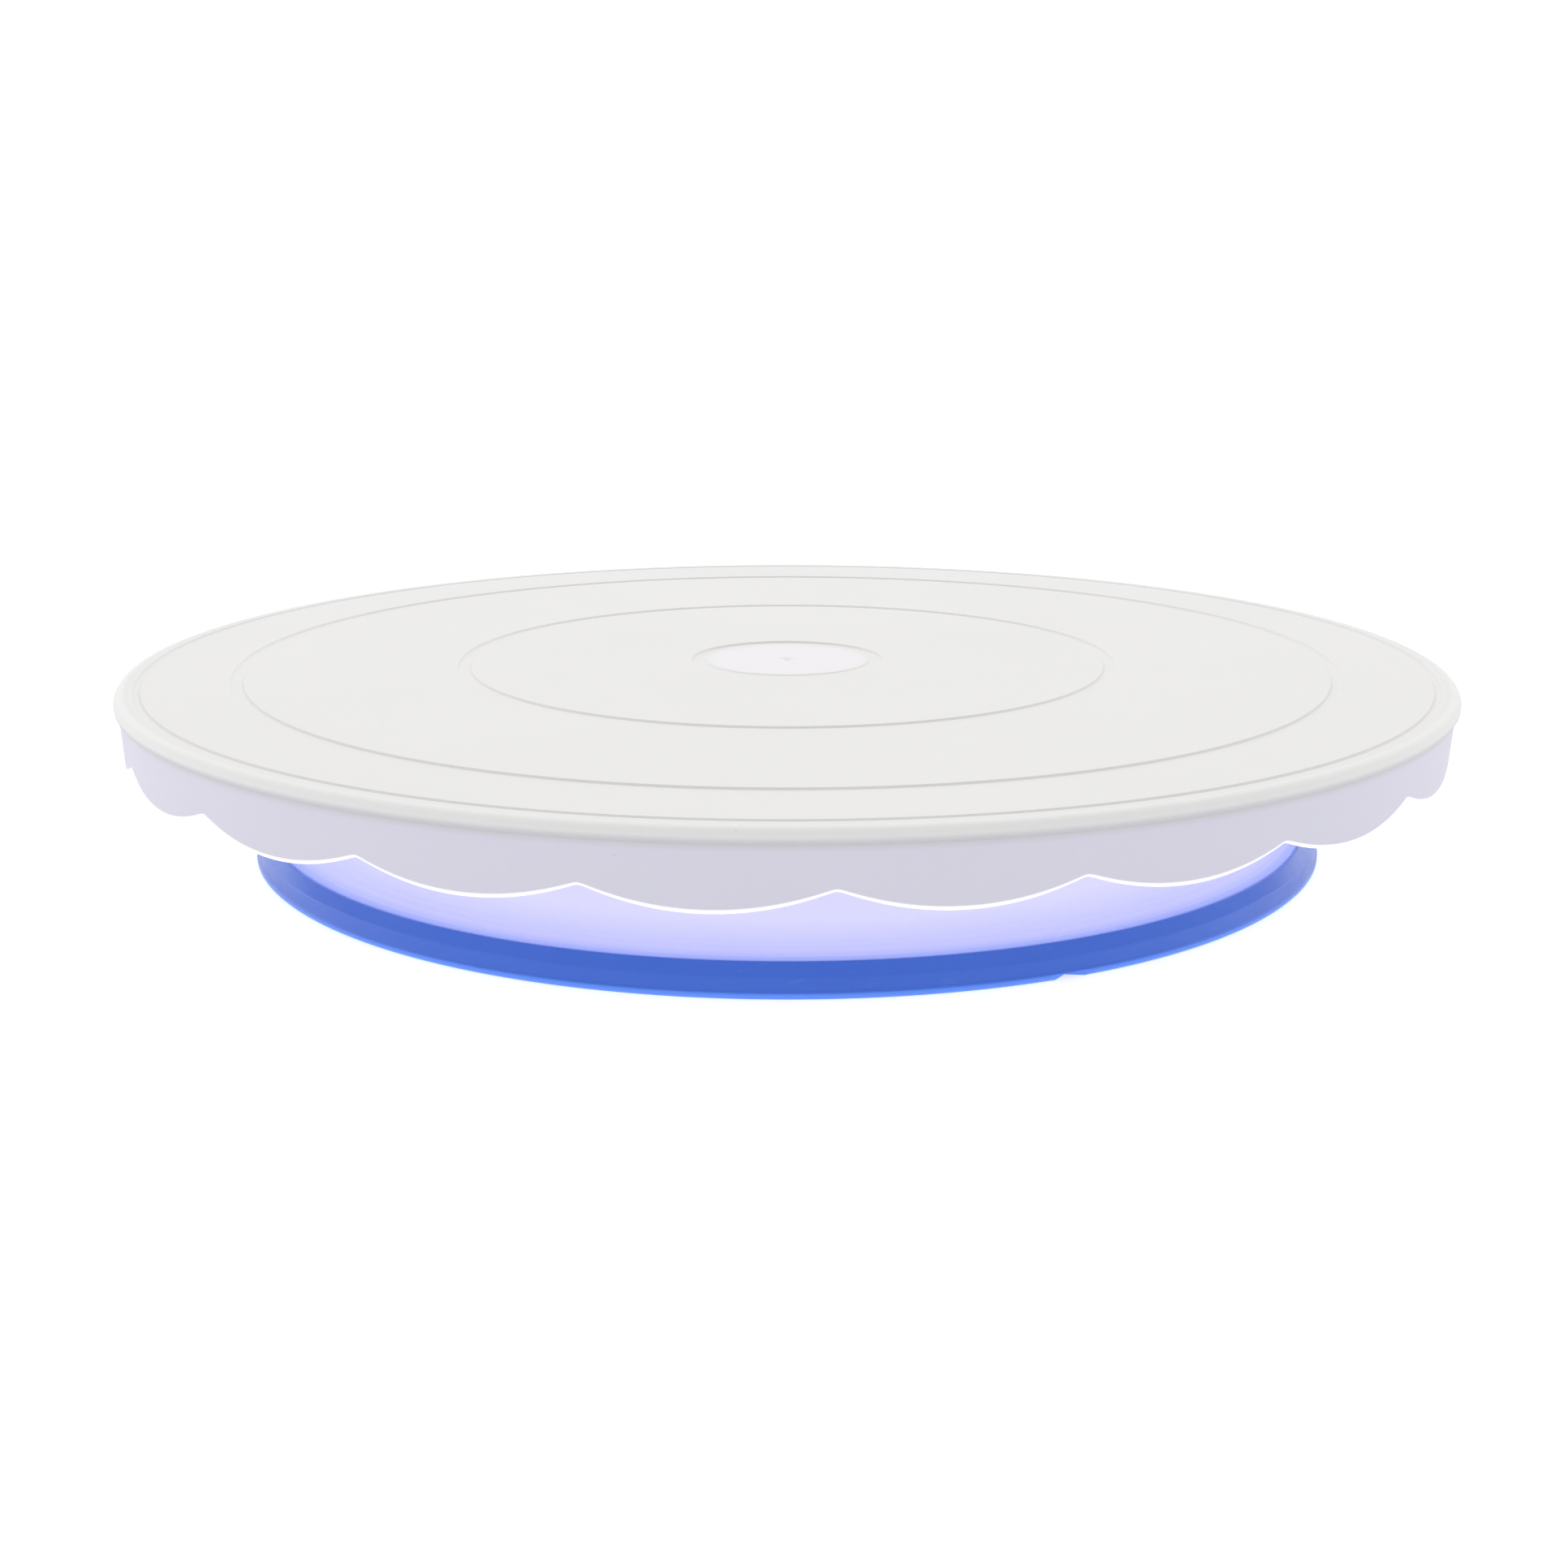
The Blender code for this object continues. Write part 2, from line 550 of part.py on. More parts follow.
def make_pivot_screw(finish, parent):
    """A shoulder screw driven up through the base into the plate's boss."""
    shoulder_top = BOSS_END - FIT_GAP
    tip = BOSS_END + THREAD_LENGTH
    head_low = HEAD_TOP - HEAD_THICKNESS
    chamfer = THREAD_RADIUS / 3
    outline = [(0.0, tip), (THREAD_RADIUS - chamfer, tip), (THREAD_RADIUS, tip - chamfer),
               (THREAD_RADIUS, shoulder_top), (SHOULDER_RADIUS, shoulder_top),
               (SHOULDER_RADIUS, HEAD_TOP), (HEAD_RADIUS, HEAD_TOP)]
    outline += quarter((HEAD_RADIUS - HEAD_THICKNESS / 2, HEAD_TOP - HEAD_THICKNESS / 2),
                       (HEAD_THICKNESS / 2, HEAD_THICKNESS / 2), 1, 3)
    outline.append((0.0, head_low))
    screw = piece("pivot_screw", turned(outline, PIVOT_STEPS), finish, parent)
    socket = turned([(0.0, head_low + SOCKET_DEPTH), (SOCKET_RADIUS, head_low + SOCKET_DEPTH),
                     (SOCKET_RADIUS, head_low - SOCKET_DEPTH), (0.0, head_low - SOCKET_DEPTH)], 6)
    combine(screw, tool("hex_socket", socket), "DIFFERENCE")
    return screw


def make_bush(finish, parent):
    flange_radius = BUSH_RADIUS + BASE_WALL
    flange_low = TOWER_TOP + FIT_GAP
    outline = [(BUSH_BORE, BUSH_TOP), (flange_radius, BUSH_TOP), (flange_radius, flange_low),
               (BUSH_RADIUS, flange_low), (BUSH_RADIUS, flange_low - BUSH_LENGTH),
               (BUSH_BORE, flange_low - BUSH_LENGTH)]
    return piece("pivot_bush", turned(outline, PIVOT_STEPS, closed=True), finish, parent)


def make_washer(finish, parent):
    inner = SHOULDER_RADIUS + FIT_GAP
    outer = WASHER_RADIUS
    low = WASHER_TOP - WASHER_THICKNESS
    outline = [(inner, WASHER_TOP), (outer, WASHER_TOP), (outer, low), (inner, low)]
    return piece("thrust_washer", turned(outline, PIVOT_STEPS, closed=True), finish, parent)


def make_bottom_cap(finish, parent):
    """A snap-in cap that closes the screw's well from below."""
    disc_top = WELL_FLOOR - FIT_GAP
    disc_low = disc_top - CAP_THICKNESS
    spigot = WELL_RADIUS - FIT_GAP
    spigot_inner = spigot - CAP_SPIGOT_WALL
    spigot_top = disc_top + CAP_SPIGOT
    outline = [(0.0, disc_top), (spigot_inner, disc_top), (spigot_inner, spigot_top),
               (spigot, spigot_top), (spigot, disc_top), (WELL_RADIUS + WELL_WALL, disc_top),
               (WELL_RADIUS + WELL_WALL, disc_low + CAP_THICKNESS / 2),
               (WELL_RADIUS + WELL_WALL - CAP_THICKNESS / 2, disc_low), (0.0, disc_low)]
    return piece("bottom_cap", turned(outline, PIVOT_STEPS), finish, parent)


def main():
    white = material("white_polypropylene", (0.84, 0.84, 0.83), 0.42)
    base_white = material("base_polypropylene", (0.80, 0.80, 0.88), 0.32)
    blue = material("blue_grip_rubber", (0.05, 0.14, 0.64), 0.38)
    steel = material("ball_steel", (0.62, 0.62, 0.64), 0.12, 1.0)
    race_steel = material("race_steel", (0.50, 0.50, 0.52), 0.30, 1.0)
    nylon = material("cage_nylon", (0.78, 0.76, 0.70), 0.45)
    acetal = material("bush_acetal", (0.10, 0.10, 0.11), 0.35)
    zinc = material("screw_zinc", (0.66, 0.67, 0.70), 0.28, 1.0)

    base_axis = axis_empty("base_axis")
    plate_axis = axis_empty("plate_axis")
    cage_axis = axis_empty("cage_axis")

    make_plate(white, plate_axis)
    piece("upper_race", turned(race_outline(1), BEARING_STEPS, closed=True), race_steel, plate_axis)
    make_pivot_screw(zinc, plate_axis)
    make_washer(nylon, plate_axis)

    make_cage(nylon, cage_axis)
    make_balls(steel, cage_axis)

    make_base(base_white, base_axis)
    piece("lower_race", turned(race_outline(-1), BEARING_STEPS, closed=True), race_steel, base_axis)
    make_bush(acetal, base_axis)
    make_bottom_cap(base_white, base_axis)
    make_grip_ring(blue, base_axis)

    plate_axis.rotation_euler.z = FIRST_CUSP_ANGLE


main()
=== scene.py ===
"""Cake turntable: the finished surfaces of every piece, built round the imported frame, in metres."""
import math

import bpy
from mathutils import Matrix, Vector


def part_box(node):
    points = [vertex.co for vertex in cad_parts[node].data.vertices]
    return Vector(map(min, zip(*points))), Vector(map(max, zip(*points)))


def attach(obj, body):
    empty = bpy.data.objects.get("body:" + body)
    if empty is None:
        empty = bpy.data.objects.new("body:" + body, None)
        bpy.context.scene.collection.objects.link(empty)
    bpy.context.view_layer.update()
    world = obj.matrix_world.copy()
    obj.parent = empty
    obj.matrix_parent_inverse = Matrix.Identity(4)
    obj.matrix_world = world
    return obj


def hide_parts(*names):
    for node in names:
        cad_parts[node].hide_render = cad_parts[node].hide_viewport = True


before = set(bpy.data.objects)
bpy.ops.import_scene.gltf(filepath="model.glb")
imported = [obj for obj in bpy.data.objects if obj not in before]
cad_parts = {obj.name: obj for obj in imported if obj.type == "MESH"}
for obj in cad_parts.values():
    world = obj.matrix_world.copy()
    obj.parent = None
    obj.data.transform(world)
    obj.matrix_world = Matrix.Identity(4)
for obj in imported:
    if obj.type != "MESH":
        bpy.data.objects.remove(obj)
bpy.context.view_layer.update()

MM = 0.001
SHARP_ANGLE = math.radians(38)       # edges steeper than this stay crisp


# ---------------------------------------------------------------- sizes

def radius_of(node):
    """Outer radius of a round CAD node."""
    low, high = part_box(node)
    return max(high[0] - low[0], high[1] - low[1]) / 2


def low_of(node):
    """Height of a CAD node's lowest point."""
    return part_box(node)[0][2]


def high_of(node):
    """Height of a CAD node's highest point."""
    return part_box(node)[1][2]


GAP = 0.3 * MM                      # between pieces that seat on each other

# plate
TOP = high_of("turntable_plate")
PLATE_RADIUS = radius_of("turntable_plate")
PLATE_WALL = 2.6 * MM
UNDERSIDE = TOP - PLATE_WALL
RIM_HEIGHT = 3.1 * MM               # from the top to the skirt
RIM_WIDEST = 2.3 * MM               # from the top to the widest line
RIM_ROLL = 2.0 * MM
SKIRT_RADIUS = PLATE_RADIUS - 1.0 * MM
SKIRT_WALL = 2.0 * MM
SKIRT_DRAFT = 0.7 * MM
SKIRT_LOW = TOP - 16.1 * MM
SCALLOPS = 21
SCALLOP_DEPTH = 4.4 * MM
FIRST_CUSP = math.radians(-1.1)
CUSP_ROUNDING = 0.7 * MM
CHANNEL_DEPTH = 0.45 * MM
CHANNELS = ((75.3 * MM, 3.0 * MM), (126.1 * MM, 3.0 * MM), (PLATE_RADIUS - 5.0 * MM, 1.6 * MM))
CENTRE_RING = (19.1 * MM, 22.4 * MM)
CENTRE_DROP = 0.2 * MM
PLATE_RIBS = 12
PLATE_RIB_WALL = 1.4 * MM
PLATE_RIB_DEPTH = 4.2 * MM
PLATE_HOOP = 98.0 * MM

# bearing
BALLS = 16
BALL_RADIUS = 2.5 * MM
BALL_CIRCLE = 31.0 * MM
BALL_HEIGHT = (low_of("ball_cage") + high_of("ball_cage")) / 2
GROOVE_RADIUS = BALL_RADIUS + GAP
RACE_HALF = 4.0 * MM
UPPER_SEAT = high_of("upper_race") + GAP
LOWER_SEAT = low_of("lower_race") - GAP
SEAT_DEPTH = 1.0 * MM
PAD_FACE = UPPER_SEAT - SEAT_DEPTH
TOWER_TOP = high_of("base_shell")
BOSS_END = TOWER_TOP + 1.3 * MM      # foot of the plate's screw boss
SEAT_OUTER = BALL_CIRCLE + RACE_HALF + GAP
SEAT_INNER = BALL_CIRCLE - RACE_HALF - GAP

# base
BASE_WALL = 2.4 * MM
BASE_EDGE = high_of("grip_ring")
TOWER_RADIUS = SEAT_OUTER + 4.7 * MM
DISH_FOOT = TOWER_RADIUS + 2.0 * MM
DISH_TOP = TOWER_TOP - 7.0 * MM
DISH_CURVE = 1.25
RING_RADIUS = radius_of("grip_ring")
RING_INSIDE = RING_RADIUS - 3.8 * MM
RIM_OUTSIDE = radius_of("base_shell")
RIM_INSIDE = RIM_OUTSIDE - 2.4 * MM
RIM_FOOT = low_of("base_shell")
BASE_RIBS = 8
BASE_RIB_WALL = 1.8 * MM
BASE_HOOP = 80.0 * MM
LIP_HEIGHT = 1.3 * MM               # of the bead round the grip ring's foot
NOTCH_DEPTH = 2.7 * MM              # of the small V across the grip ring's lip
NOTCH_WIDTH = 9.0 * MM
NOTCH_ANGLE = math.radians(-64.0)
WELL = 13.0 * MM
WELL_WALL = 2.0 * MM
WELL_FLOOR = 5.0 * MM
PIVOT_BORE = 6.5 * MM
PIVOT_BOSS = 8.9 * MM
PIVOT_BOSS_END = high_of("thrust_washer") + GAP


# ---------------------------------------------------------------- node helper

def add(tree, kind, inputs=None, **settings):
    """One node: its settings, then its inputs: each a value, a socket, or a node for its first output."""
    node = tree.nodes.new(kind)
    for name, value in settings.items():
        setattr(node, name, value)
    for key, value in (inputs or {}).items():
        shown = [socket for socket in node.inputs if socket.enabled]
        socket = shown[key] if isinstance(key, int) else next(s for s in shown if s.name == key)
        if isinstance(value, bpy.types.Node):
            value = next(output for output in value.outputs if output.enabled)
        if isinstance(value, bpy.types.NodeSocket):
            tree.links.new(value, socket)
        else:
            socket.default_value = value
    return node


def maths(tree, operation, *values):
    """A maths node of the values in order."""
    return add(tree, "ShaderNodeMath", dict(enumerate(values)), operation=operation)


def spread(tree, value, start=0.0, end=1.0, low=0.0, high=1.0, **settings):
    """A value held between start and end, drawn out from low to high."""
    return add(tree, "ShaderNodeMapRange", {"Value": value, "From Min": start, "From Max": end, "To Min": low,
                                            "To Max": high}, **settings)


def tinted(tree, share, first, second):
    """A colour between two, by share."""
    return add(tree, "ShaderNodeMix", {"Factor": share, "A": first, "B": second}, data_type="RGBA")


def noise(tree, place, size, detail, roughness=0.5):
    """Noise whose largest features are about the size given."""
    return add(tree, "ShaderNodeTexNoise", {"Vector": place, "Scale": 1 / size, "Detail": detail,
                                            "Roughness": roughness})


# ---------------------------------------------------------------- geometry

def rounded(corners, arc_steps=4, support=0.25 * MM):
    """(radius, height) points from (radius, height, fillet) corners, with a point beside each fillet."""
    outline = []
    for index, (x, y, fillet) in enumerate(corners):
        here = Vector((x, y))
        if fillet <= 0 or index in (0, len(corners) - 1):
            outline.append((x, y))
            continue
        before = Vector(corners[index - 1][:2]) - here
        after = Vector(corners[index + 1][:2]) - here
        half = before.angle(after) / 2
        reach = min(fillet / math.tan(half), before.length * 0.48, after.length * 0.48)
        size = reach * math.tan(half)
        into = before.normalized()
        out = after.normalized()
        centre = here + (into + out).normalized() * (size / math.sin(half))
        start = here + into * reach
        end = here + out * reach
        if before.length * 0.5 > reach + support:
            outline.append(tuple(start + into * support))
        first = start - centre
        turn = first.angle_signed(end - centre)
        for step in range(arc_steps + 1):
            angle = -turn * step / arc_steps
            spoke = Vector((first.x * math.cos(angle) - first.y * math.sin(angle),
                            first.x * math.sin(angle) + first.y * math.cos(angle)))
            outline.append(tuple(centre + spoke))
        if after.length * 0.5 > reach + support:
            outline.append(tuple(end + out * support))
    return outline


def curve_of(function, start, end, count):
    """Corners along a function of the radius, with no fillet."""
    spots = [start + (end - start) * index / count for index in range(count + 1)]
    return [(spot, function(spot), 0.0) for spot in spots]


def quarter(centre, reach, first, steps):
    """Corners on a quarter ellipse; first 0 starts at the top and 1 at the outside."""
    corners = []
    for step in range(steps + 1):
        angle = (first + step / steps) * math.pi / 2
        corners.append((centre[0] + reach[0] * math.sin(angle), centre[1] + reach[1] * math.cos(angle), 0.0))
    return corners


def turning_tree():
    """Sweeps an outline round the axis and draws its skirt up between scallops."""
    tree = bpy.data.node_groups.new("turned_moulding", "GeometryNodeTree")
    tree.interface.new_socket("Outline", in_out="INPUT", socket_type="NodeSocketGeometry")
    numbers = ("Scallops", "Scallop Depth", "First Cusp", "Cusp Rounding", "Crowding", "Skirt Radius",
               "Skirt Top", "Skirt Foot", "Thread Pitch", "Thread Depth", "Thread Top", "Thread Foot")
    for name, kind in [("Steps", "Int")] + [(name, "Float") for name in numbers] + [("Finish", "Material")]:
        tree.interface.new_socket(name, in_out="INPUT", socket_type=f"NodeSocket{kind}")
    tree.interface.new_socket("Turned", in_out="OUTPUT", socket_type="NodeSocketGeometry")
    given = add(tree, "NodeGroupInput").outputs

    rows = add(tree, "GeometryNodeAttributeDomainSize", {"Geometry": given["Outline"]}, component="MESH")
    columns = maths(tree, "ADD", given["Steps"], 1.0)
    grid = add(tree, "GeometryNodeMeshGrid",
               {"Size X": 1.0, "Size Y": 1.0, "Vertices X": columns, "Vertices Y": rows})
    place = add(tree, "ShaderNodeSeparateXYZ", {0: add(tree, "GeometryNodeInputPosition")})
    even_round = maths(tree, "ADD", place.outputs[0], 0.5)
    lobes_round = maths(tree, "MULTIPLY", even_round, given["Scallops"])
    swing = maths(tree, "SINE", maths(tree, "MULTIPLY", lobes_round, math.tau))
    crowd = maths(tree, "MULTIPLY_ADD", maths(tree, "DIVIDE", given["Crowding"], -math.tau), swing,
                  lobes_round)
    share_round = maths(tree, "DIVIDE", crowd, given["Scallops"])
    share_along = maths(tree, "ADD", place.outputs[1], 0.5)
    last_row = maths(tree, "SUBTRACT", rows, 1.0)
    row = maths(tree, "ROUND", maths(tree, "MULTIPLY", share_along, last_row))
    point = add(tree, "ShaderNodeSeparateXYZ", {0: add(tree, "GeometryNodeSampleIndex", {
        "Geometry": given["Outline"], "Value": add(tree, "GeometryNodeInputPosition"), "Index": row},
        data_type="FLOAT_VECTOR", domain="POINT")})
    radius, height = point.outputs[0], point.outputs[2]

    # distance along the skirt from the nearest cusp, rounded at the cusp itself
    lobe = maths(tree, "FRACT", maths(tree, "MULTIPLY", share_round, given["Scallops"]))
    from_middle = maths(tree, "ABSOLUTE", maths(tree, "SUBTRACT", lobe, 0.5))
    half_lobe = maths(tree, "DIVIDE", maths(tree, "MULTIPLY", given["Skirt Radius"], math.pi),
                      given["Scallops"])
    to_cusp = maths(tree, "MULTIPLY", maths(tree, "MULTIPLY_ADD", from_middle, -2.0, 1.0), half_lobe)
    soft_squared = maths(tree, "MULTIPLY_ADD", to_cusp, to_cusp,
                         maths(tree, "POWER", given["Cusp Rounding"], 2.0))
    soft_to_cusp = maths(tree, "SQRT", soft_squared)
    along = maths(tree, "SUBTRACT", half_lobe, soft_to_cusp)

    # each lobe is a circle arc as wide as the lobe and as deep as the scallop
    depth = given["Scallop Depth"]
    square_sum = maths(tree, "MULTIPLY_ADD", half_lobe, half_lobe, maths(tree, "MULTIPLY", depth, depth))
    twice_depth = maths(tree, "MULTIPLY", depth, 2.0)
    lobe_radius = maths(tree, "DIVIDE", square_sum, twice_depth)
    inside = maths(tree, "SUBTRACT", maths(tree, "POWER", lobe_radius, 2.0), maths(tree, "POWER", along, 2.0))
    lift = maths(tree, "SUBTRACT", lobe_radius, maths(tree, "SQRT", inside))

    # the skirt follows in proportion to its distance below the rim, and its rounded foot all the way
    below_rim = spread(tree, height, given["Skirt Top"], given["Skirt Foot"])
    in_skirt = maths(tree, "GREATER_THAN", radius, maths(tree, "MULTIPLY", given["Skirt Radius"], 0.97))
    share = maths(tree, "MULTIPLY", below_rim, in_skirt)
    # skirt_share also places the painted glow along the scallop edge in the plate's finish
    marked = add(tree, "GeometryNodeStoreNamedAttribute",
                 {"Geometry": grid.outputs["Mesh"], "Name": "skirt_share", "Value": share}, data_type="FLOAT",
                 domain="POINT")
    raised = maths(tree, "MULTIPLY_ADD", lift, share, height)

    # a thread is cut a little deeper at every part of the turn, between its foot and its top
    turns = maths(tree, "SUBTRACT", maths(tree, "DIVIDE", height, given["Thread Pitch"]), share_round)
    flank = maths(tree, "PINGPONG", turns, 0.5)
    below_top = spread(tree, height, given["Thread Top"],
                       maths(tree, "SUBTRACT", given["Thread Top"], given["Thread Pitch"]))
    above_foot = spread(tree, height, given["Thread Foot"],
                        maths(tree, "ADD", given["Thread Foot"], given["Thread Pitch"]))
    window = maths(tree, "MULTIPLY", below_top, above_foot)
    cut = maths(tree, "MULTIPLY", maths(tree, "MULTIPLY", flank, given["Thread Depth"]), window)
    reach = maths(tree, "MULTIPLY_ADD", cut, -2.0, radius)

    angle = maths(tree, "MULTIPLY_ADD", share_round, math.tau, given["First Cusp"])
    across = maths(tree, "MULTIPLY", reach, maths(tree, "COSINE", angle))
    away = maths(tree, "MULTIPLY", reach, maths(tree, "SINE", angle))
    placed = add(tree, "GeometryNodeSetPosition", {
        "Geometry": marked, "Position": add(tree, "ShaderNodeCombineXYZ", {0: across, 1: away, 2: raised})})
    closed = add(tree, "GeometryNodeMergeByDistance", {"Geometry": placed, "Distance": 0.002 * MM})
    outward = add(tree, "GeometryNodeFlipFaces", {"Mesh": closed})
    smooth = add(tree, "GeometryNodeSetShadeSmooth", {"Geometry": outward})
    real = add(tree, "GeometryNodeRealizeInstances", {"Geometry": smooth})
    coated = add(tree, "GeometryNodeSetMaterial", {"Geometry": real, "Material": given["Finish"]})
    add(tree, "NodeGroupOutput", {"Turned": coated})
    return tree


def repeating_tree():
    """Repeats a shape evenly round the axis."""
    tree = bpy.data.node_groups.new("round_the_axis", "GeometryNodeTree")
    tree.interface.new_socket("Shape", in_out="INPUT", socket_type="NodeSocketGeometry")
    for name, kind in (("Count", "Int"), ("First Angle", "Float"), ("Finish", "Material")):
        tree.interface.new_socket(name, in_out="INPUT", socket_type=f"NodeSocket{kind}")
    tree.interface.new_socket("Ring", in_out="OUTPUT", socket_type="NodeSocketGeometry")
    given = add(tree, "NodeGroupInput").outputs
    spots = add(tree, "GeometryNodePoints", {"Count": given["Count"]})
    spacing = maths(tree, "DIVIDE", math.tau, given["Count"])
    angle = maths(tree, "MULTIPLY_ADD", add(tree, "GeometryNodeInputIndex"), spacing, given["First Angle"])
    copies = add(tree, "GeometryNodeInstanceOnPoints",
                 {"Points": spots, "Instance": given["Shape"],
                  "Rotation": add(tree, "ShaderNodeCombineXYZ", {2: angle})})
    real = add(tree, "GeometryNodeRealizeInstances", {"Geometry": copies})
    coated = add(tree, "GeometryNodeSetMaterial", {"Geometry": real, "Material": given["Finish"]})
    add(tree, "NodeGroupOutput", {"Ring": coated})
    return tree


def made_by(tree, shape, values):
    """The plain mesh that a tree makes of a shape; the shape and its modifier are removed."""
    holder = bpy.data.objects.new("pattern", shape)
    bpy.context.scene.collection.objects.link(holder)
    step = holder.modifiers.new("pattern", "NODES")
    step.node_group = tree
    for socket in tree.interface.items_tree:
        if socket.in_out == "INPUT" and socket.name in values:
            step[socket.identifier] = values[socket.name]
    holder.update_tag()
    return plain_mesh(holder)


def plain_mesh(holder):
    """The evaluated mesh of an object, which is removed."""
    bpy.context.view_layer.update()
    mesh = bpy.data.meshes.new_from_object(holder.evaluated_get(bpy.context.evaluated_depsgraph_get()))
    bpy.data.objects.remove(holder)
    return mesh


def turned(outline, steps, finish, **scallop):
    """The mesh swept from an outline that runs from the top, outward and down."""
    line = bpy.data.meshes.new("outline")
    line.from_pydata([(radius, 0.0, height) for radius, height in outline],
                     [(index, index + 1) for index in range(len(outline) - 1)], [])
    values = {"Steps": steps, "Scallops": 1.0, "Scallop Depth": MM, "First Cusp": 0.0, "Cusp Rounding": 0.0,
              "Crowding": 0.0, "Skirt Radius": 10.0, "Skirt Top": 1.0, "Skirt Foot": 0.0, "Thread Pitch": MM,
              "Thread Depth": 0.0, "Thread Top": 1.0, "Thread Foot": 0.0, "Finish": finish}
    values.update(scallop)
    return made_by(TURNED, line, values)


def bar(outline, wall, edge=0.25 * MM):
    """A flat bar standing in the XZ plane, with softened edges."""
    count = len(outline)
    mesh = bpy.data.meshes.new("bar")
    points = [(x, side * wall / 2, z) for side in (-1, 1) for x, z in outline]
    sides = [(i, (i + 1) % count, count + (i + 1) % count, count + i) for i in range(count)]
    mesh.from_pydata(points, [], [tuple(range(count))[::-1], tuple(range(count, 2 * count))] + sides)
    holder = bpy.data.objects.new("bar", mesh)
    bpy.context.scene.collection.objects.link(holder)
    soften = holder.modifiers.new("edges", "BEVEL")
    soften.width = edge
    soften.segments = 2
    return plain_mesh(holder)


def joined(name, first, others, operation="UNION", solver="MANIFOLD"):
    """One closed mesh from a mesh and others joined to it or cut from it."""
    body = bpy.data.objects.new(name, first)
    bpy.context.scene.collection.objects.link(body)
    tools = []
    for mesh in others:
        cutter = bpy.data.objects.new("shape", mesh)
        bpy.context.scene.collection.objects.link(cutter)
        step = body.modifiers.new("shape", "BOOLEAN")
        step.operation = operation
        step.solver = solver
        step.object = cutter
        tools.append(cutter)
    mesh = plain_mesh(body)
    for cutter in tools:
        bpy.data.objects.remove(cutter)
    return mesh


def finished(name, mesh, finish, body, slot, *nodes):
    """A finished piece that rides on a body and stands for CAD nodes."""
    mesh.name = name
    mesh.materials.clear()
    mesh.materials.append(finish)
    for face in mesh.polygons:
        face.material_index = 0
    mesh.shade_smooth()
    mesh.set_sharp_from_angle(angle=SHARP_ANGLE)
    piece = bpy.data.objects.new(name, mesh)
    bpy.context.scene.collection.objects.link(piece)
    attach(piece, body)
    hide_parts(*nodes)
    return piece


# ---------------------------------------------------------------- finishes

def linear(code):
    """Linear colour of an sRGB hex code."""
    shares = [int(code[start:start + 2], 16) / 255 for start in (0, 2, 4)]
    return tuple(s / 12.92 if s <= 0.04045 else ((s + 0.055) / 1.055) ** 2.4 for s in shares) + (1.0,)


def distance_from_axis(tree, place):
    """A node that gives the distance from the turning axis."""
    flat = add(tree, "ShaderNodeMapping", {"Vector": place, "Scale": (1.0, 1.0, 0.0)})
    return add(tree, "ShaderNodeVectorMath", {0: flat}, operation="LENGTH")


def new_finish(name):
    """An empty material and its tree."""
    finish = bpy.data.materials.new(name)
    finish.use_nodes = True
    finish.node_tree.nodes.clear()
    return finish, finish.node_tree


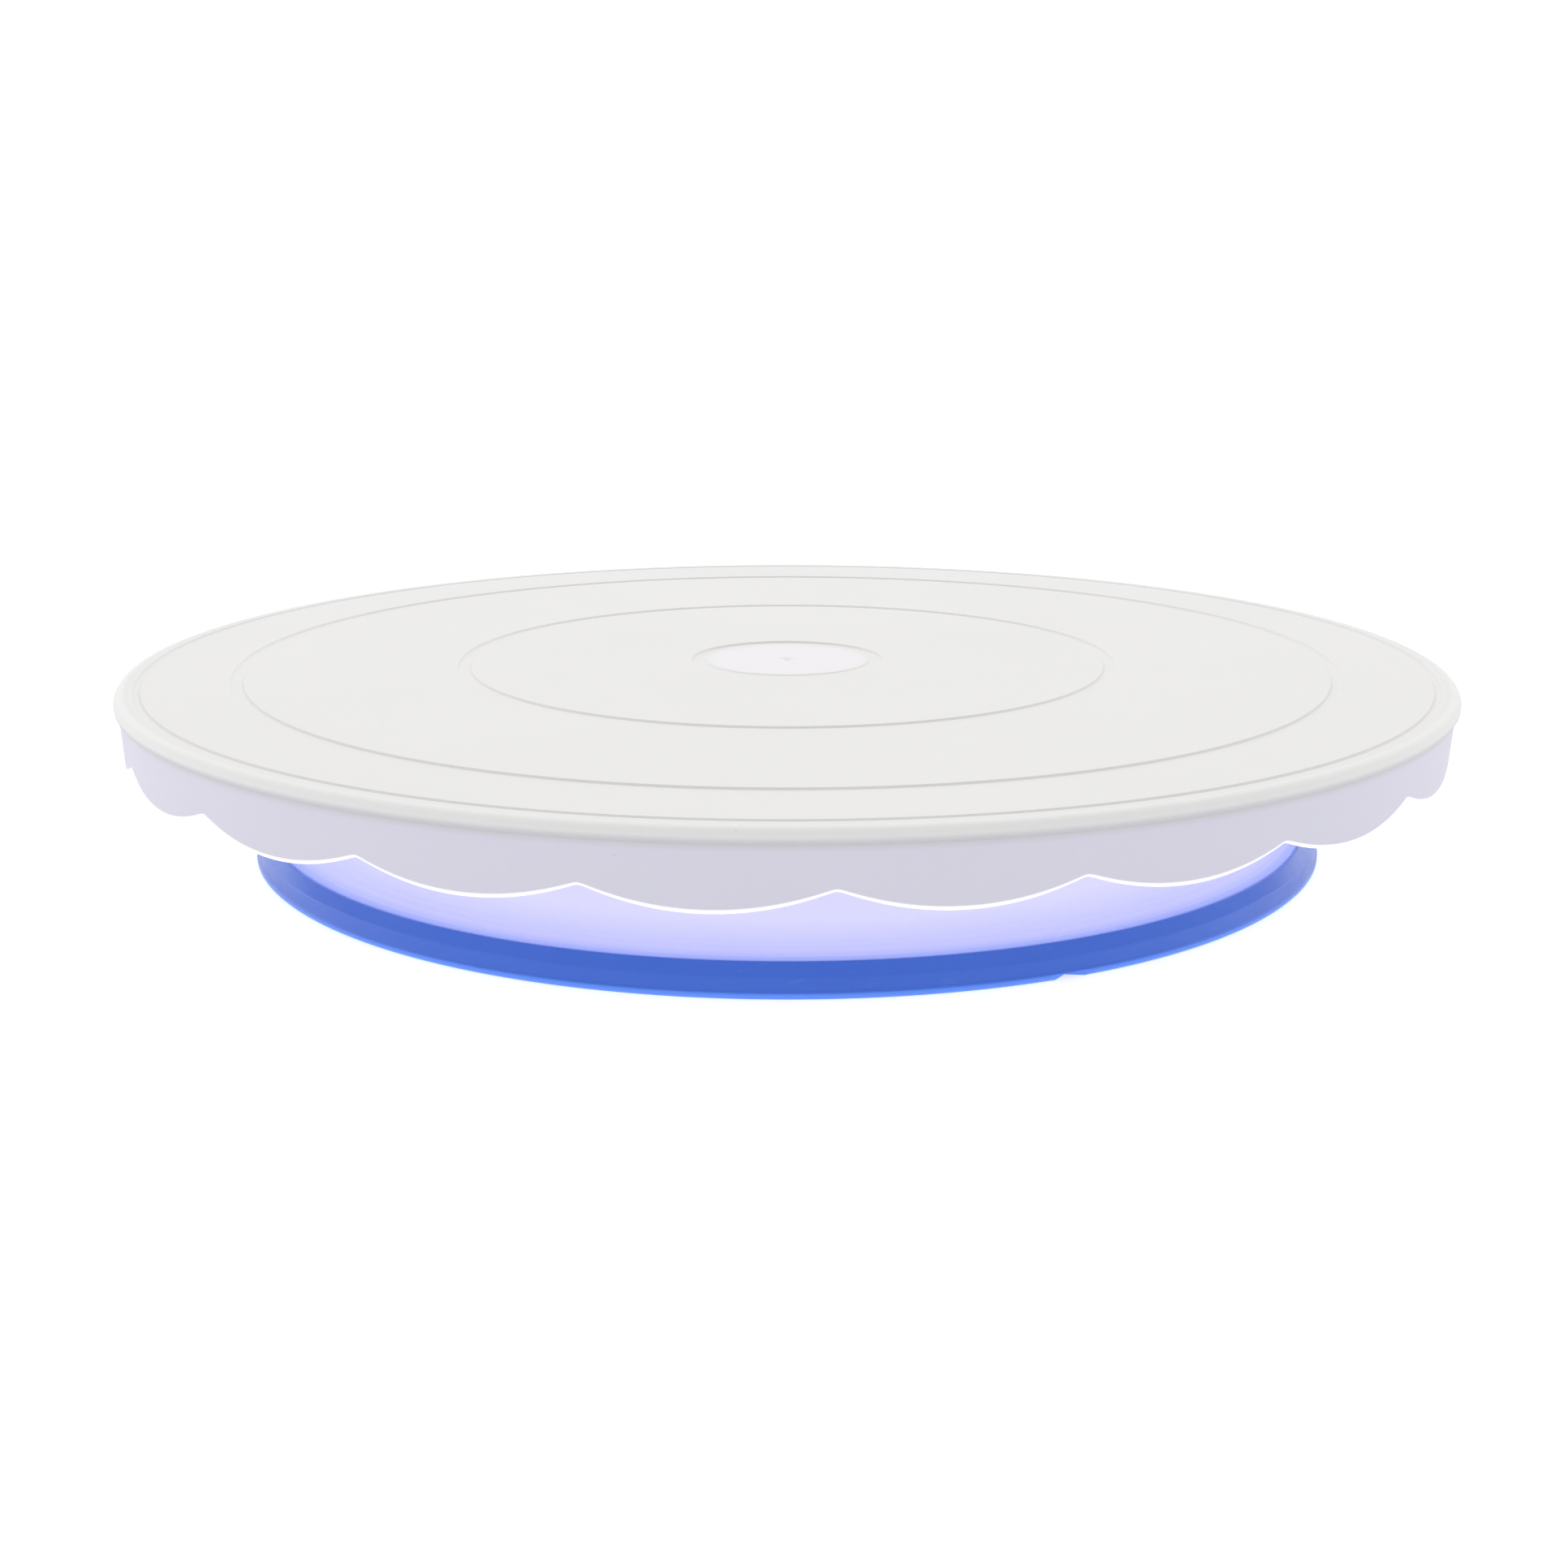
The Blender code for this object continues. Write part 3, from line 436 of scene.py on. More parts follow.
def spark_eroded_polypropylene():
    """White polypropylene, spark-eroded mould: an even satin grain, silkier down the skirt, with a painted
    bluish cast on the skirt, a painted highlight on the rim's roll, painted shade under it and a painted glow
    along the scallop edge.
    """
    finish, tree = new_finish("spark_eroded_polypropylene")
    place = add(tree, "ShaderNodeTexCoord").outputs["Object"]
    height = add(tree, "ShaderNodeSeparateXYZ", {0: place}).outputs[2]
    reach = distance_from_axis(tree, place)
    grain = noise(tree, place, 0.55 * MM, 3.0, 0.6)
    flow = noise(tree, place, 45 * MM, 2.0)
    speck = noise(tree, place, 1.6 * MM, 1.0)
    speck_here = spread(tree, speck, 0.8, 0.825, 0.0, 0.2)
    down = spread(tree, height, TOP - 2.3 * MM, TOP - 4.4 * MM)
    outside = spread(tree, reach, SKIRT_RADIUS - 2.5 * MM, SKIRT_RADIUS - 1.5 * MM)
    skirt = maths(tree, "MULTIPLY", down, outside)
    clouds = tinted(tree, flow, linear("F1F0EF"), linear("F5F4F3"))
    middle = spread(tree, reach, CENTRE_RING[0] + 0.3 * MM, CENTRE_RING[0] - 2 * MM)
    top_tone = tinted(tree, middle, clouds, linear("FAF7FA"))
    # painted highlight: the rim's outer roll is lightened almost to white, for light falling on it
    painted_light_on_roll = spread(tree, reach, PLATE_RADIUS - 2.6 * MM, PLATE_RADIUS - 1.2 * MM)
    tone_with_painted_roll_light = tinted(tree, painted_light_on_roll, top_tone, linear("FEFEFD"))
    # painted light: a bluish lavender cast down the skirt, for blue light thrown up from the grip ring and
    # the fill
    tone = tinted(tree, skirt, tone_with_painted_roll_light, linear("EDEBF9"))
    # painted shade: a darker band under the rim's roll, down to where the skirt begins
    rolled_under = spread(tree, height, TOP - 1.7 * MM, TOP - 2.6 * MM)
    back_to_skirt = spread(tree, height, TOP - 4.6 * MM, TOP - 3.2 * MM)
    painted_shade_under_roll = maths(tree, "MULTIPLY", maths(tree, "MULTIPLY", rolled_under, back_to_skirt), outside)
    tone_with_painted_roll_shade = tinted(tree, painted_shade_under_roll, tone, linear("DCDBE0"))
    marked = tinted(tree, speck_here, tone_with_painted_roll_shade, linear("A9A7A2"))
    # painted light: a white glow along the scallop edge at the skirt's foot, for light shining through the
    # thin edge
    edge = add(tree, "ShaderNodeAttribute", attribute_name="skirt_share").outputs["Fac"]
    glow = spread(tree, edge, 0.915, 0.955, 0.0, 0.55, interpolation_type="SMOOTHSTEP")
    gloss = spread(tree, grain, 0.3, 0.7, 0.4, 0.52)
    relief = spread(tree, skirt, 0.0, 1.0, 0.45, 0.12)
    bump = add(tree, "ShaderNodeBump", {"Height": grain, "Strength": relief, "Distance": 0.05 * MM})
    shader = add(tree, "ShaderNodeBsdfPrincipled", {
        "Base Color": marked, "Roughness": gloss, "IOR": 1.49, "Normal": bump, "Sheen Weight": 0.3,
        "Sheen Roughness": 0.15, "Emission Color": linear("FFFFFF"), "Emission Strength": glow})
    add(tree, "ShaderNodeOutputMaterial", {"Surface": shader})
    return finish


def polished_polypropylene():
    """Clear-white polypropylene, polished mould: lavender, faint turned rings, painted blue light growing
    towards the grip and a painted glow over the whole dish.
    """
    finish, tree = new_finish("polished_polypropylene")
    place = add(tree, "ShaderNodeTexCoord").outputs["Object"]
    reach = distance_from_axis(tree, place)
    near = spread(tree, reach, 101 * MM, RIM_OUTSIDE - MM)
    close = spread(tree, reach, RIM_OUTSIDE - 3.5 * MM, RIM_OUTSIDE)
    wave = maths(tree, "SINE", maths(tree, "MULTIPLY", reach, math.tau / (2.6 * MM)))
    uneven = noise(tree, place, 30 * MM, 2.0)
    lines = maths(tree, "MULTIPLY", wave, maths(tree, "MULTIPLY", near, uneven))
    # painted light: the dish grows bluer towards the grip ring and bluer still beside it, for blue light from
    # the ring
    slope = tinted(tree, near, linear("E6E5FD"), linear("C1C5FE"))
    tone = tinted(tree, close, slope, linear("9DAEF9"))
    rings_over_painted_grip_light = tinted(tree, spread(tree, lines, 0.1, 0.6, 0.0, 0.12), tone, linear("F4F4FF"))
    fine = noise(tree, place, 0.8 * MM, 2.0)
    height = maths(tree, "MULTIPLY_ADD", lines, 0.6, fine)
    bump = add(tree, "ShaderNodeBump", {"Height": height, "Strength": 0.12, "Distance": 0.03 * MM})
    gloss = spread(tree, uneven, 0.3, 0.7, 0.24, 0.34)
    # painted light: the whole dish glows in its own colour, for light from the table shining up through the
    # wall
    shader = add(tree, "ShaderNodeBsdfPrincipled", {
        "Base Color": rings_over_painted_grip_light, "Roughness": gloss, "IOR": 1.49, "Normal": bump, "Emission Color": rings_over_painted_grip_light,
        "Emission Strength": 0.40})
    add(tree, "ShaderNodeOutputMaterial", {"Surface": shader})
    return finish


def thermoplastic_rubber():
    """Blue thermoplastic rubber, moulded: a soft even sheen, dust-fine grain and a few pale scuffs."""
    finish, tree = new_finish("thermoplastic_rubber")
    place = add(tree, "ShaderNodeTexCoord").outputs["Object"]
    grain = noise(tree, place, 0.6 * MM, 3.0, 0.6)
    cloud = noise(tree, place, 24 * MM, 3.0)
    tone = tinted(tree, cloud, linear("1E66EA"), linear("2A70F0"))
    long_way = add(tree, "ShaderNodeMapping", {"Vector": place, "Scale": (1.0, 1.0, 4.0)})
    rub = noise(tree, long_way, 9 * MM, 4.0, 0.7)
    rubbed = spread(tree, rub, 0.64, 0.74, 0.0, 0.22)
    worn = tinted(tree, rubbed, tone, linear("7C9BE8"))
    gloss = spread(tree, rub, 0.3, 0.7, 0.36, 0.5)
    bump = add(tree, "ShaderNodeBump", {"Height": grain, "Strength": 0.3, "Distance": 0.04 * MM})
    height = add(tree, "ShaderNodeSeparateXYZ", {0: place}).outputs[2]
    # painted light: a faint glow over the whole ring, rising to a brighter painted highlight on the lip and
    # foot, for light from the table below
    lip = spread(tree, height, LIP_HEIGHT + 0.3 * MM, LIP_HEIGHT - 0.4 * MM, 0.08, 0.45,
                 interpolation_type="SMOOTHSTEP")
    shader = add(tree, "ShaderNodeBsdfPrincipled",
                 {"Base Color": worn, "Roughness": gloss, "IOR": 1.5, "Normal": bump, "Sheen Weight": 0.4,
                  "Sheen Roughness": 0.2, "Coat Weight": 0.8, "Coat Roughness": 0.25,
                  "Emission Color": linear("77A6EE"), "Emission Strength": lip})
    add(tree, "ShaderNodeOutputMaterial", {"Surface": shader})
    return finish


def ground_steel(name, code, mark_spacing, rough):
    """Hardened steel, ground round the axis: fine rings that stretch the highlights."""
    finish, tree = new_finish(name)
    place = add(tree, "ShaderNodeTexCoord").outputs["Object"]
    reach = distance_from_axis(tree, place)
    rings = add(tree, "ShaderNodeTexNoise",
                {"W": maths(tree, "MULTIPLY", reach, 1 / mark_spacing), "Scale": 1.0, "Detail": 3.0},
                noise_dimensions="1D")
    stain = noise(tree, place, 6 * MM, 3.0)
    tone = tinted(tree, stain, linear(code), linear("D9DADC"))
    gloss = spread(tree, rings, 0.3, 0.7, rough, rough + 0.14)
    bump = add(tree, "ShaderNodeBump", {"Height": rings, "Strength": 0.3, "Distance": 0.01 * MM})
    shader = add(tree, "ShaderNodeBsdfPrincipled", {"Base Color": tone, "Roughness": gloss, "Metallic": 1.0,
                                                    "Normal": bump})
    add(tree, "ShaderNodeOutputMaterial", {"Surface": shader})
    return finish


def plain_moulding(name, pale, dark, low_gloss, high_gloss):
    """An engineering plastic straight from the mould: faint flow clouds and a fine matt grain."""
    finish, tree = new_finish(name)
    place = add(tree, "ShaderNodeTexCoord").outputs["Object"]
    cloud = noise(tree, place, 5 * MM, 3.0)
    grain = noise(tree, place, 0.4 * MM, 2.0)
    tone = tinted(tree, cloud, linear(pale), linear(dark))
    gloss = spread(tree, cloud, 0.3, 0.7, low_gloss, high_gloss)
    bump = add(tree, "ShaderNodeBump", {"Height": grain, "Strength": 0.25, "Distance": 0.03 * MM})
    shader = add(tree, "ShaderNodeBsdfPrincipled", {"Base Color": tone, "Roughness": gloss, "IOR": 1.5,
                                                    "Normal": bump})
    add(tree, "ShaderNodeOutputMaterial", {"Surface": shader})
    return finish


# ---------------------------------------------------------------- pieces

def channel_corners(inner, outer, inner_drop=0.0):
    """A shallow channel in the top face; inner_drop is how far its inner side stays below the top."""
    slope = 0.3 * MM
    floor = TOP - CHANNEL_DEPTH
    return [(inner, TOP - inner_drop, 0.14 * MM), (inner + slope, floor, 0.12 * MM),
            (outer - slope, floor, 0.12 * MM), (outer, TOP, 0.14 * MM)]


def plate_corners():
    """The disc with its gate mark, guides, rolled rim and skirt."""
    disc = TOP - CENTRE_DROP
    foot = SKIRT_RADIUS - SKIRT_DRAFT
    corners = [(0.0, disc + 0.05 * MM, 0.0), (0.6 * MM, disc + 0.05 * MM, 0.1 * MM),
               (0.8 * MM, disc - 0.2 * MM, 0.1 * MM), (1.5 * MM, disc - 0.2 * MM, 0.1 * MM),
               (1.8 * MM, disc, 0.15 * MM)]
    corners += channel_corners(*CENTRE_RING, CENTRE_DROP)
    for middle, width in CHANNELS:
        corners += channel_corners(middle - width / 2, middle + width / 2)
    widest = TOP - RIM_WIDEST
    corners += quarter((PLATE_RADIUS - RIM_ROLL, widest), (RIM_ROLL, RIM_WIDEST), 0, 8)
    tuck = (PLATE_RADIUS - SKIRT_RADIUS, RIM_HEIGHT - RIM_WIDEST)
    corners += quarter((SKIRT_RADIUS, widest), tuck, 1, 5)[1:]
    corners += [(foot, SKIRT_LOW, 0.75 * MM), (foot - SKIRT_WALL, SKIRT_LOW, 0.5 * MM),
                (foot - SKIRT_WALL, UNDERSIDE, 0.6 * MM), (0.0, UNDERSIDE, 0.0)]
    return corners


def hub_corners():
    """Dust wall, race pad and screw boss under the disc."""
    root = UNDERSIDE + PLATE_WALL / 2
    wall = DISH_FOOT + 2.8 * MM
    low = TOWER_TOP - 3.0 * MM
    pad_outer = SEAT_OUTER + PLATE_WALL
    pad_inner = SEAT_INNER - PLATE_WALL
    return [(0.0, root, 0.0), (wall + 1.8 * MM, root, 0.0), (wall + 1.8 * MM, low, 0.5 * MM),
            (wall, low, 0.3 * MM), (wall, UNDERSIDE, 0.4 * MM), (pad_outer, UNDERSIDE, 0.4 * MM),
            (pad_outer, PAD_FACE, 0.2 * MM), (SEAT_OUTER, PAD_FACE, 0.2 * MM),
            (SEAT_OUTER, UPPER_SEAT, 0.1 * MM), (SEAT_INNER, UPPER_SEAT, 0.1 * MM),
            (SEAT_INNER, PAD_FACE, 0.2 * MM), (pad_inner, PAD_FACE, 0.2 * MM),
            (pad_inner, UNDERSIDE, 0.4 * MM), (9.0 * MM, UNDERSIDE, 0.6 * MM), (9.0 * MM, BOSS_END, 0.2 * MM),
            (2.5 * MM, BOSS_END, 0.2 * MM), (2.5 * MM, BOSS_END + 8.3 * MM, 0.2 * MM),
            (0.0, BOSS_END + 8.3 * MM, 0.0)]


def hoop_corners(radius, wall, top, low):
    """An upright ring of even wall, with a softened lower edge."""
    inner = radius - wall / 2
    outer = radius + wall / 2
    return [(radius, top, 0.0), (outer, top, 0.0), (outer, low, 0.35 * MM), (inner, low, 0.35 * MM),
            (inner, top, 0.0), (radius, top, 0.0)]


def make_plate():
    """The plate: disc and skirt, ribs, hoop and hub in one moulding."""
    root = UNDERSIDE + PLATE_WALL / 2
    inner = DISH_FOOT + 3.7 * MM
    outer = SKIRT_RADIUS - SKIRT_DRAFT - SKIRT_WALL / 2
    disc = turned(rounded(plate_corners()), SCALLOPS * 30, PLATE_FINISH,
                  **{"Scallops": float(SCALLOPS), "Scallop Depth": SCALLOP_DEPTH, "First Cusp": FIRST_CUSP,
                     "Cusp Rounding": CUSP_ROUNDING, "Crowding": 0.8, "Skirt Radius": SKIRT_RADIUS,
                     "Skirt Top": TOP - RIM_HEIGHT, "Skirt Foot": SKIRT_LOW})
    rib = bar([(inner, root), (outer, root), (outer, UNDERSIDE - PLATE_RIB_DEPTH / 2),
               (inner, UNDERSIDE - PLATE_RIB_DEPTH)], PLATE_RIB_WALL)
    ribs = made_by(REPEATED, rib, {"Count": PLATE_RIBS, "First Angle": FIRST_CUSP + math.pi / PLATE_RIBS,
                                   "Finish": PLATE_FINISH})
    hub = turned(rounded(hub_corners()), 160, PLATE_FINISH)
    ring = turned(rounded(hoop_corners(PLATE_HOOP, PLATE_RIB_WALL, root, UNDERSIDE - PLATE_RIB_DEPTH)), 240,
                  PLATE_FINISH)
    mesh = joined("plate_moulding", disc, [hub, ribs, ring])
    return finished("plate_moulding", mesh, PLATE_FINISH, "turntable", "plate_plastic", "turntable_plate")


def dish_height(radius):
    """Height of the base's upper surface outside the tower."""
    share = (RIM_OUTSIDE - radius) / (RIM_OUTSIDE - DISH_FOOT)
    return BASE_EDGE + (DISH_TOP - BASE_EDGE) * max(share, 0.0) ** DISH_CURVE


def base_corners():
    """The tower, the dish, the rim wall and the well in one moulding."""
    start = 15.0 * MM
    under = LOWER_SEAT - BASE_WALL
    foot = DISH_FOOT - BASE_WALL
    corners = [(start, TOWER_TOP, 0.0), (SEAT_INNER, TOWER_TOP, 0.2 * MM), (SEAT_INNER, LOWER_SEAT, 0.1 * MM),
               (SEAT_OUTER, LOWER_SEAT, 0.1 * MM), (SEAT_OUTER, TOWER_TOP, 0.2 * MM),
               (TOWER_RADIUS, TOWER_TOP, 0.8 * MM), (DISH_FOOT, dish_height(DISH_FOOT), 1.2 * MM)]
    corners += curve_of(dish_height, DISH_FOOT + 4 * MM, RIM_OUTSIDE - MM, 30)
    corners += [(RIM_OUTSIDE, BASE_EDGE, 0.2 * MM), (RIM_OUTSIDE, RIM_FOOT, 0.2 * MM),
                (RIM_INSIDE, RIM_FOOT, 0.2 * MM), (RIM_INSIDE, dish_height(RIM_INSIDE) - BASE_WALL, 0.8 * MM)]
    corners += curve_of(lambda radius: dish_height(radius) - BASE_WALL, RIM_INSIDE - 3 * MM, foot + 3 * MM,
                        24)
    corners += [(foot, dish_height(DISH_FOOT) - BASE_WALL, 1.0 * MM),
                (TOWER_RADIUS - BASE_WALL, under, 1.0 * MM), (WELL + WELL_WALL, under, 0.6 * MM),
                (WELL + WELL_WALL, WELL_FLOOR, 0.3 * MM), (WELL, WELL_FLOOR, 0.3 * MM),
                (WELL, under, 0.4 * MM), (PIVOT_BOSS, under, 0.4 * MM),
                (PIVOT_BOSS, PIVOT_BOSS_END, 0.2 * MM), (PIVOT_BORE, PIVOT_BOSS_END, 0.2 * MM),
                (PIVOT_BORE, TOWER_TOP, 0.2 * MM), (start, TOWER_TOP, 0.0)]
    return corners


def make_base():
    """The base: dish, tower, ribs and hoop in one moulding."""
    middle = BASE_WALL / 2
    inner = WELL + WELL_WALL / 2
    outer = RIM_INSIDE - 2.9 * MM
    under = LOWER_SEAT - BASE_WALL + middle
    outline = [(inner, WELL_FLOOR + WELL_WALL), (inner, under), (TOWER_RADIUS - middle, under)]
    outline += [(x, z - middle) for x, z, _ in curve_of(dish_height, DISH_FOOT, outer, 12)]
    outline.append((outer, 2.0 * MM))
    ribs = made_by(REPEATED, bar(outline, BASE_RIB_WALL),
                   {"Count": BASE_RIBS, "First Angle": math.pi / BASE_RIBS, "Finish": BASE_FINISH})
    top = dish_height(BASE_HOOP) - middle
    hoop = turned(rounded(hoop_corners(BASE_HOOP, BASE_RIB_WALL, top, top - 6.6 * MM)), 240, BASE_FINISH)
    mesh = joined("base_moulding", turned(rounded(base_corners()), 384, BASE_FINISH), [ribs, hoop],
                  solver="EXACT")
    return finished("base_moulding", mesh, BASE_FINISH, "base", "base_plastic", "base_shell")


def make_grip():
    """The grip ring: its chamfer, outer wall, lip, foot and the inner wall that hooks over the base's rim."""
    inner_wall = RIM_INSIDE - GAP
    foot = inner_wall - 2.3 * MM
    wall = RING_RADIUS - 0.3 * MM
    shoulder = BASE_EDGE - 2.1 * MM
    start = RING_INSIDE + 0.2 * MM
    corners = [(start, BASE_EDGE, 0.0), (RING_INSIDE + 0.5 * MM, BASE_EDGE, 0.35 * MM),
               (wall - 0.5 * MM, shoulder, 0.7 * MM), (wall, LIP_HEIGHT + 0.35 * MM, 0.25 * MM),
               (RING_RADIUS, LIP_HEIGHT, 0.2 * MM), (RING_RADIUS, 0.6 * MM, 0.2 * MM),
               (RING_RADIUS - 0.6 * MM, 0.0, 0.3 * MM), (foot, 0.0, 0.4 * MM), (foot, 3.4 * MM, 0.4 * MM),
               (inner_wall, 3.4 * MM, 0.3 * MM), (inner_wall, 1.3 * MM, 0.2 * MM),
               (RING_INSIDE, 1.3 * MM, 0.2 * MM), (RING_INSIDE, BASE_EDGE, 0.15 * MM),
               (start, BASE_EDGE, 0.0)]
    body = turned(rounded(corners), 512, GRIP_FINISH)
    reach = 2 * NOTCH_DEPTH
    notch = turned([(0.0, LIP_HEIGHT), (reach, LIP_HEIGHT), (reach, -MM), (0.0, -MM)], 4, GRIP_FINISH)
    notch.transform(Matrix.Diagonal((1.0, NOTCH_WIDTH / reach, 1.0, 1.0)))
    notch.transform(Matrix.Translation((RING_RADIUS + NOTCH_DEPTH, 0.0, 0.0)))
    notch.transform(Matrix.Rotation(NOTCH_ANGLE, 4, "Z"))
    mesh = joined("grip_ring_moulding", body, [notch], "DIFFERENCE")
    return finished("grip_ring_moulding", mesh, GRIP_FINISH, "base", "grip_rubber", "grip_ring")


def race_corners(towards):
    """A race whose groove faces the balls; towards is 1 for the upper race and -1 for the lower."""
    inner = BALL_CIRCLE - RACE_HALF
    outer = BALL_CIRCLE + RACE_HALF
    face_rise = GROOVE_RADIUS - 0.6 * MM
    face = BALL_HEIGHT + towards * face_rise
    back = BALL_HEIGHT + towards * (GROOVE_RADIUS + 1.6 * MM)
    half_groove = math.acos(face_rise / GROOVE_RADIUS)
    groove = []
    for step in range(13):
        angle = half_groove * (1 - step / 6)
        groove.append((BALL_CIRCLE + GROOVE_RADIUS * math.sin(angle),
                       BALL_HEIGHT + towards * GROOVE_RADIUS * math.cos(angle), 0.0))
    corners = [(BALL_CIRCLE, back, 0.0), (outer, back, 0.3 * MM), (outer, face, 0.3 * MM)] + groove
    corners += [(inner, face, 0.3 * MM), (inner, back, 0.3 * MM), (BALL_CIRCLE, back, 0.0)]
    return corners if towards > 0 else corners[::-1]


def make_bearing():
    """Two races, the cage and its balls."""
    for name, towards, body, node in (("upper_race_ground", 1, "turntable", "upper_race"),
                                      ("lower_race_ground", -1, "base", "lower_race")):
        mesh = turned(rounded(race_corners(towards)), 192, RACE_FINISH)
        finished(name, mesh, RACE_FINISH, body, "race_steel", node)

    inner = BALL_CIRCLE - 4.6 * MM
    outer = BALL_CIRCLE + 4.6 * MM
    low = low_of("ball_cage")
    high = high_of("ball_cage")
    ring = turned(rounded([(BALL_CIRCLE, high, 0.0), (outer, high, 0.35 * MM), (outer, low, 0.35 * MM),
                           (inner, low, 0.35 * MM), (inner, high, 0.35 * MM), (BALL_CIRCLE, high, 0.0)]), 256,
                  CAGE_FINISH)
    pocket = turned([(0.0, high + MM), (GROOVE_RADIUS + 0.6 * MM, high + MM),
                     (GROOVE_RADIUS, high - 0.4 * MM), (GROOVE_RADIUS, low + 0.4 * MM),
                     (GROOVE_RADIUS + 0.6 * MM, low - MM), (0.0, low - MM)], 48, CAGE_FINISH)
    pocket.transform(Matrix.Translation((BALL_CIRCLE, 0.0, 0.0)))
    pockets = made_by(REPEATED, pocket, {"Count": BALLS, "First Angle": 0.0, "Finish": CAGE_FINISH})
    finished("ball_cage_moulding", joined("ball_cage_moulding", ring, [pockets], "DIFFERENCE"), CAGE_FINISH,
             "bearing_cage", "cage_nylon", "ball_cage")

    half_turn = [(BALL_RADIUS * math.sin(math.pi * step / 24), BALL_RADIUS * math.cos(math.pi * step / 24))
                 for step in range(25)]
    ball = turned(half_turn, 48, BALL_FINISH)
    ball.transform(Matrix.Translation((BALL_CIRCLE, 0.0, BALL_HEIGHT)))
    balls = made_by(REPEATED, ball, {"Count": BALLS, "First Angle": 0.0, "Finish": BALL_FINISH})
    finished("bearing_balls", balls, BALL_FINISH, "bearing_cage", "ball_steel",
             *[f"ball_{index + 1:02d}" for index in range(BALLS)])


def make_pivot():
    """Shoulder screw, bush, washer and the cap that closes the well."""
    head_top = low_of("thrust_washer") - GAP
    head_low = low_of("pivot_screw")
    tip = high_of("pivot_screw")
    shoulder = 4.0 * MM
    head = 8.0 * MM
    thread = 2.2 * MM
    shank = [(0.0, tip, 0.0), (thread - 0.7 * MM, tip, 0.1 * MM), (thread, tip - 0.7 * MM, 0.1 * MM)]
    rows = 150
    shank_low = BOSS_END - GAP
    thread_start = tip - 0.9 * MM
    thread_run = shank_low - tip + 1.1 * MM
    shank += [(thread, thread_start + thread_run * row / rows, 0.0) for row in range(rows + 1)]
    outline = rounded(shank + [(thread, shank_low, 0.05 * MM), (shoulder, shank_low, 0.3 * MM),
                               (shoulder, head_top, 0.2 * MM), (head, head_top, 0.3 * MM),
                               (head, head_top - 1.4 * MM, 0.4 * MM)]
                      + quarter((head - 1.65 * MM, head_low + 1.65 * MM), (1.65 * MM, 1.65 * MM), 1, 6)[1:]
                      + [(0.0, head_low, 0.0)])
    body = turned(outline, 96, SCREW_FINISH,
                  **{"Thread Pitch": 0.8 * MM, "Thread Depth": 0.38 * MM, "Thread Top": tip - 0.6 * MM,
                     "Thread Foot": shank_low + 0.5 * MM})
    socket = turned([(0.0, head_low + 2.0 * MM), (2.5 * MM, head_low + 2.0 * MM),
                     (2.5 * MM, head_low + 0.3 * MM), (3.1 * MM, head_low - 0.3 * MM),
                     (3.1 * MM, head_low - MM), (0.0, head_low - MM)], 6, SCREW_FINISH)
    finished("pivot_screw_zinc", joined("pivot_screw_zinc", body, [socket], "DIFFERENCE"), SCREW_FINISH,
             "turntable", "screw_steel", "pivot_screw")

    low, high = low_of("pivot_bush"), high_of("pivot_bush")
    bore = 4.3 * MM
    outer = 6.2 * MM
    flange = radius_of("pivot_bush")
    under_flange = high - 0.7 * MM
    middle = (bore + flange) / 2
    bush = rounded([(middle, high, 0.0), (flange, high, 0.2 * MM), (flange, under_flange, 0.15 * MM),
                    (outer, under_flange, 0.1 * MM), (outer, low, 0.4 * MM), (bore, low, 0.3 * MM),
                    (bore, high, 0.3 * MM), (middle, high, 0.0)])
    finished("pivot_bush_moulding", turned(bush, 128, BUSH_FINISH), BUSH_FINISH, "base", "bush_acetal",
             "pivot_bush")

    low, high = low_of("thrust_washer"), high_of("thrust_washer")
    outer = radius_of("thrust_washer")
    middle = (bore + outer) / 2
    washer = rounded([(middle, high, 0.0), (outer, high, 0.25 * MM), (outer, low, 0.25 * MM),
                      (bore, low, 0.25 * MM), (bore, high, 0.25 * MM), (middle, high, 0.0)])
    finished("thrust_washer_moulding", turned(washer, 128, CAGE_FINISH), CAGE_FINISH, "turntable",
             "cage_nylon", "thrust_washer")

    low, high = low_of("bottom_cap"), high_of("bottom_cap")
    outer = radius_of("bottom_cap")
    spigot = WELL - GAP
    face = WELL_FLOOR - GAP
    cap = rounded([(0.0, face, 0.0), (spigot - 1.5 * MM, face, 0.3 * MM), (spigot - 1.5 * MM, high, 0.3 * MM),
                   (spigot, high, 0.5 * MM), (spigot, face, 0.1 * MM), (outer, face, 0.1 * MM),
                   (outer, low, 0.5 * MM), (6.4 * MM, low, 0.2 * MM), (6.0 * MM, low + 0.25 * MM, 0.2 * MM),
                   (0.0, low + 0.25 * MM, 0.0)])
    finished("bottom_cap_moulding", turned(cap, 160, BASE_FINISH), BASE_FINISH, "base", "base_plastic",
             "bottom_cap")


# ---------------------------------------------------------------- studio

def soft_box(name, place, aim, size, power, code="FFFFFF"):
    """A rectangular lamp at a place, aimed at a point."""
    lamp = bpy.data.lights.new(name, "AREA")
    lamp.shape = "RECTANGLE"
    lamp.size, lamp.size_y = size
    lamp.energy = power
    lamp.color = linear(code)[:3]
    holder = bpy.data.objects.new(name, lamp)
    bpy.context.scene.collection.objects.link(holder)
    holder.location = place
    holder.rotation_euler = (Vector(aim) - Vector(place)).to_track_quat("-Z", "Y").to_euler()


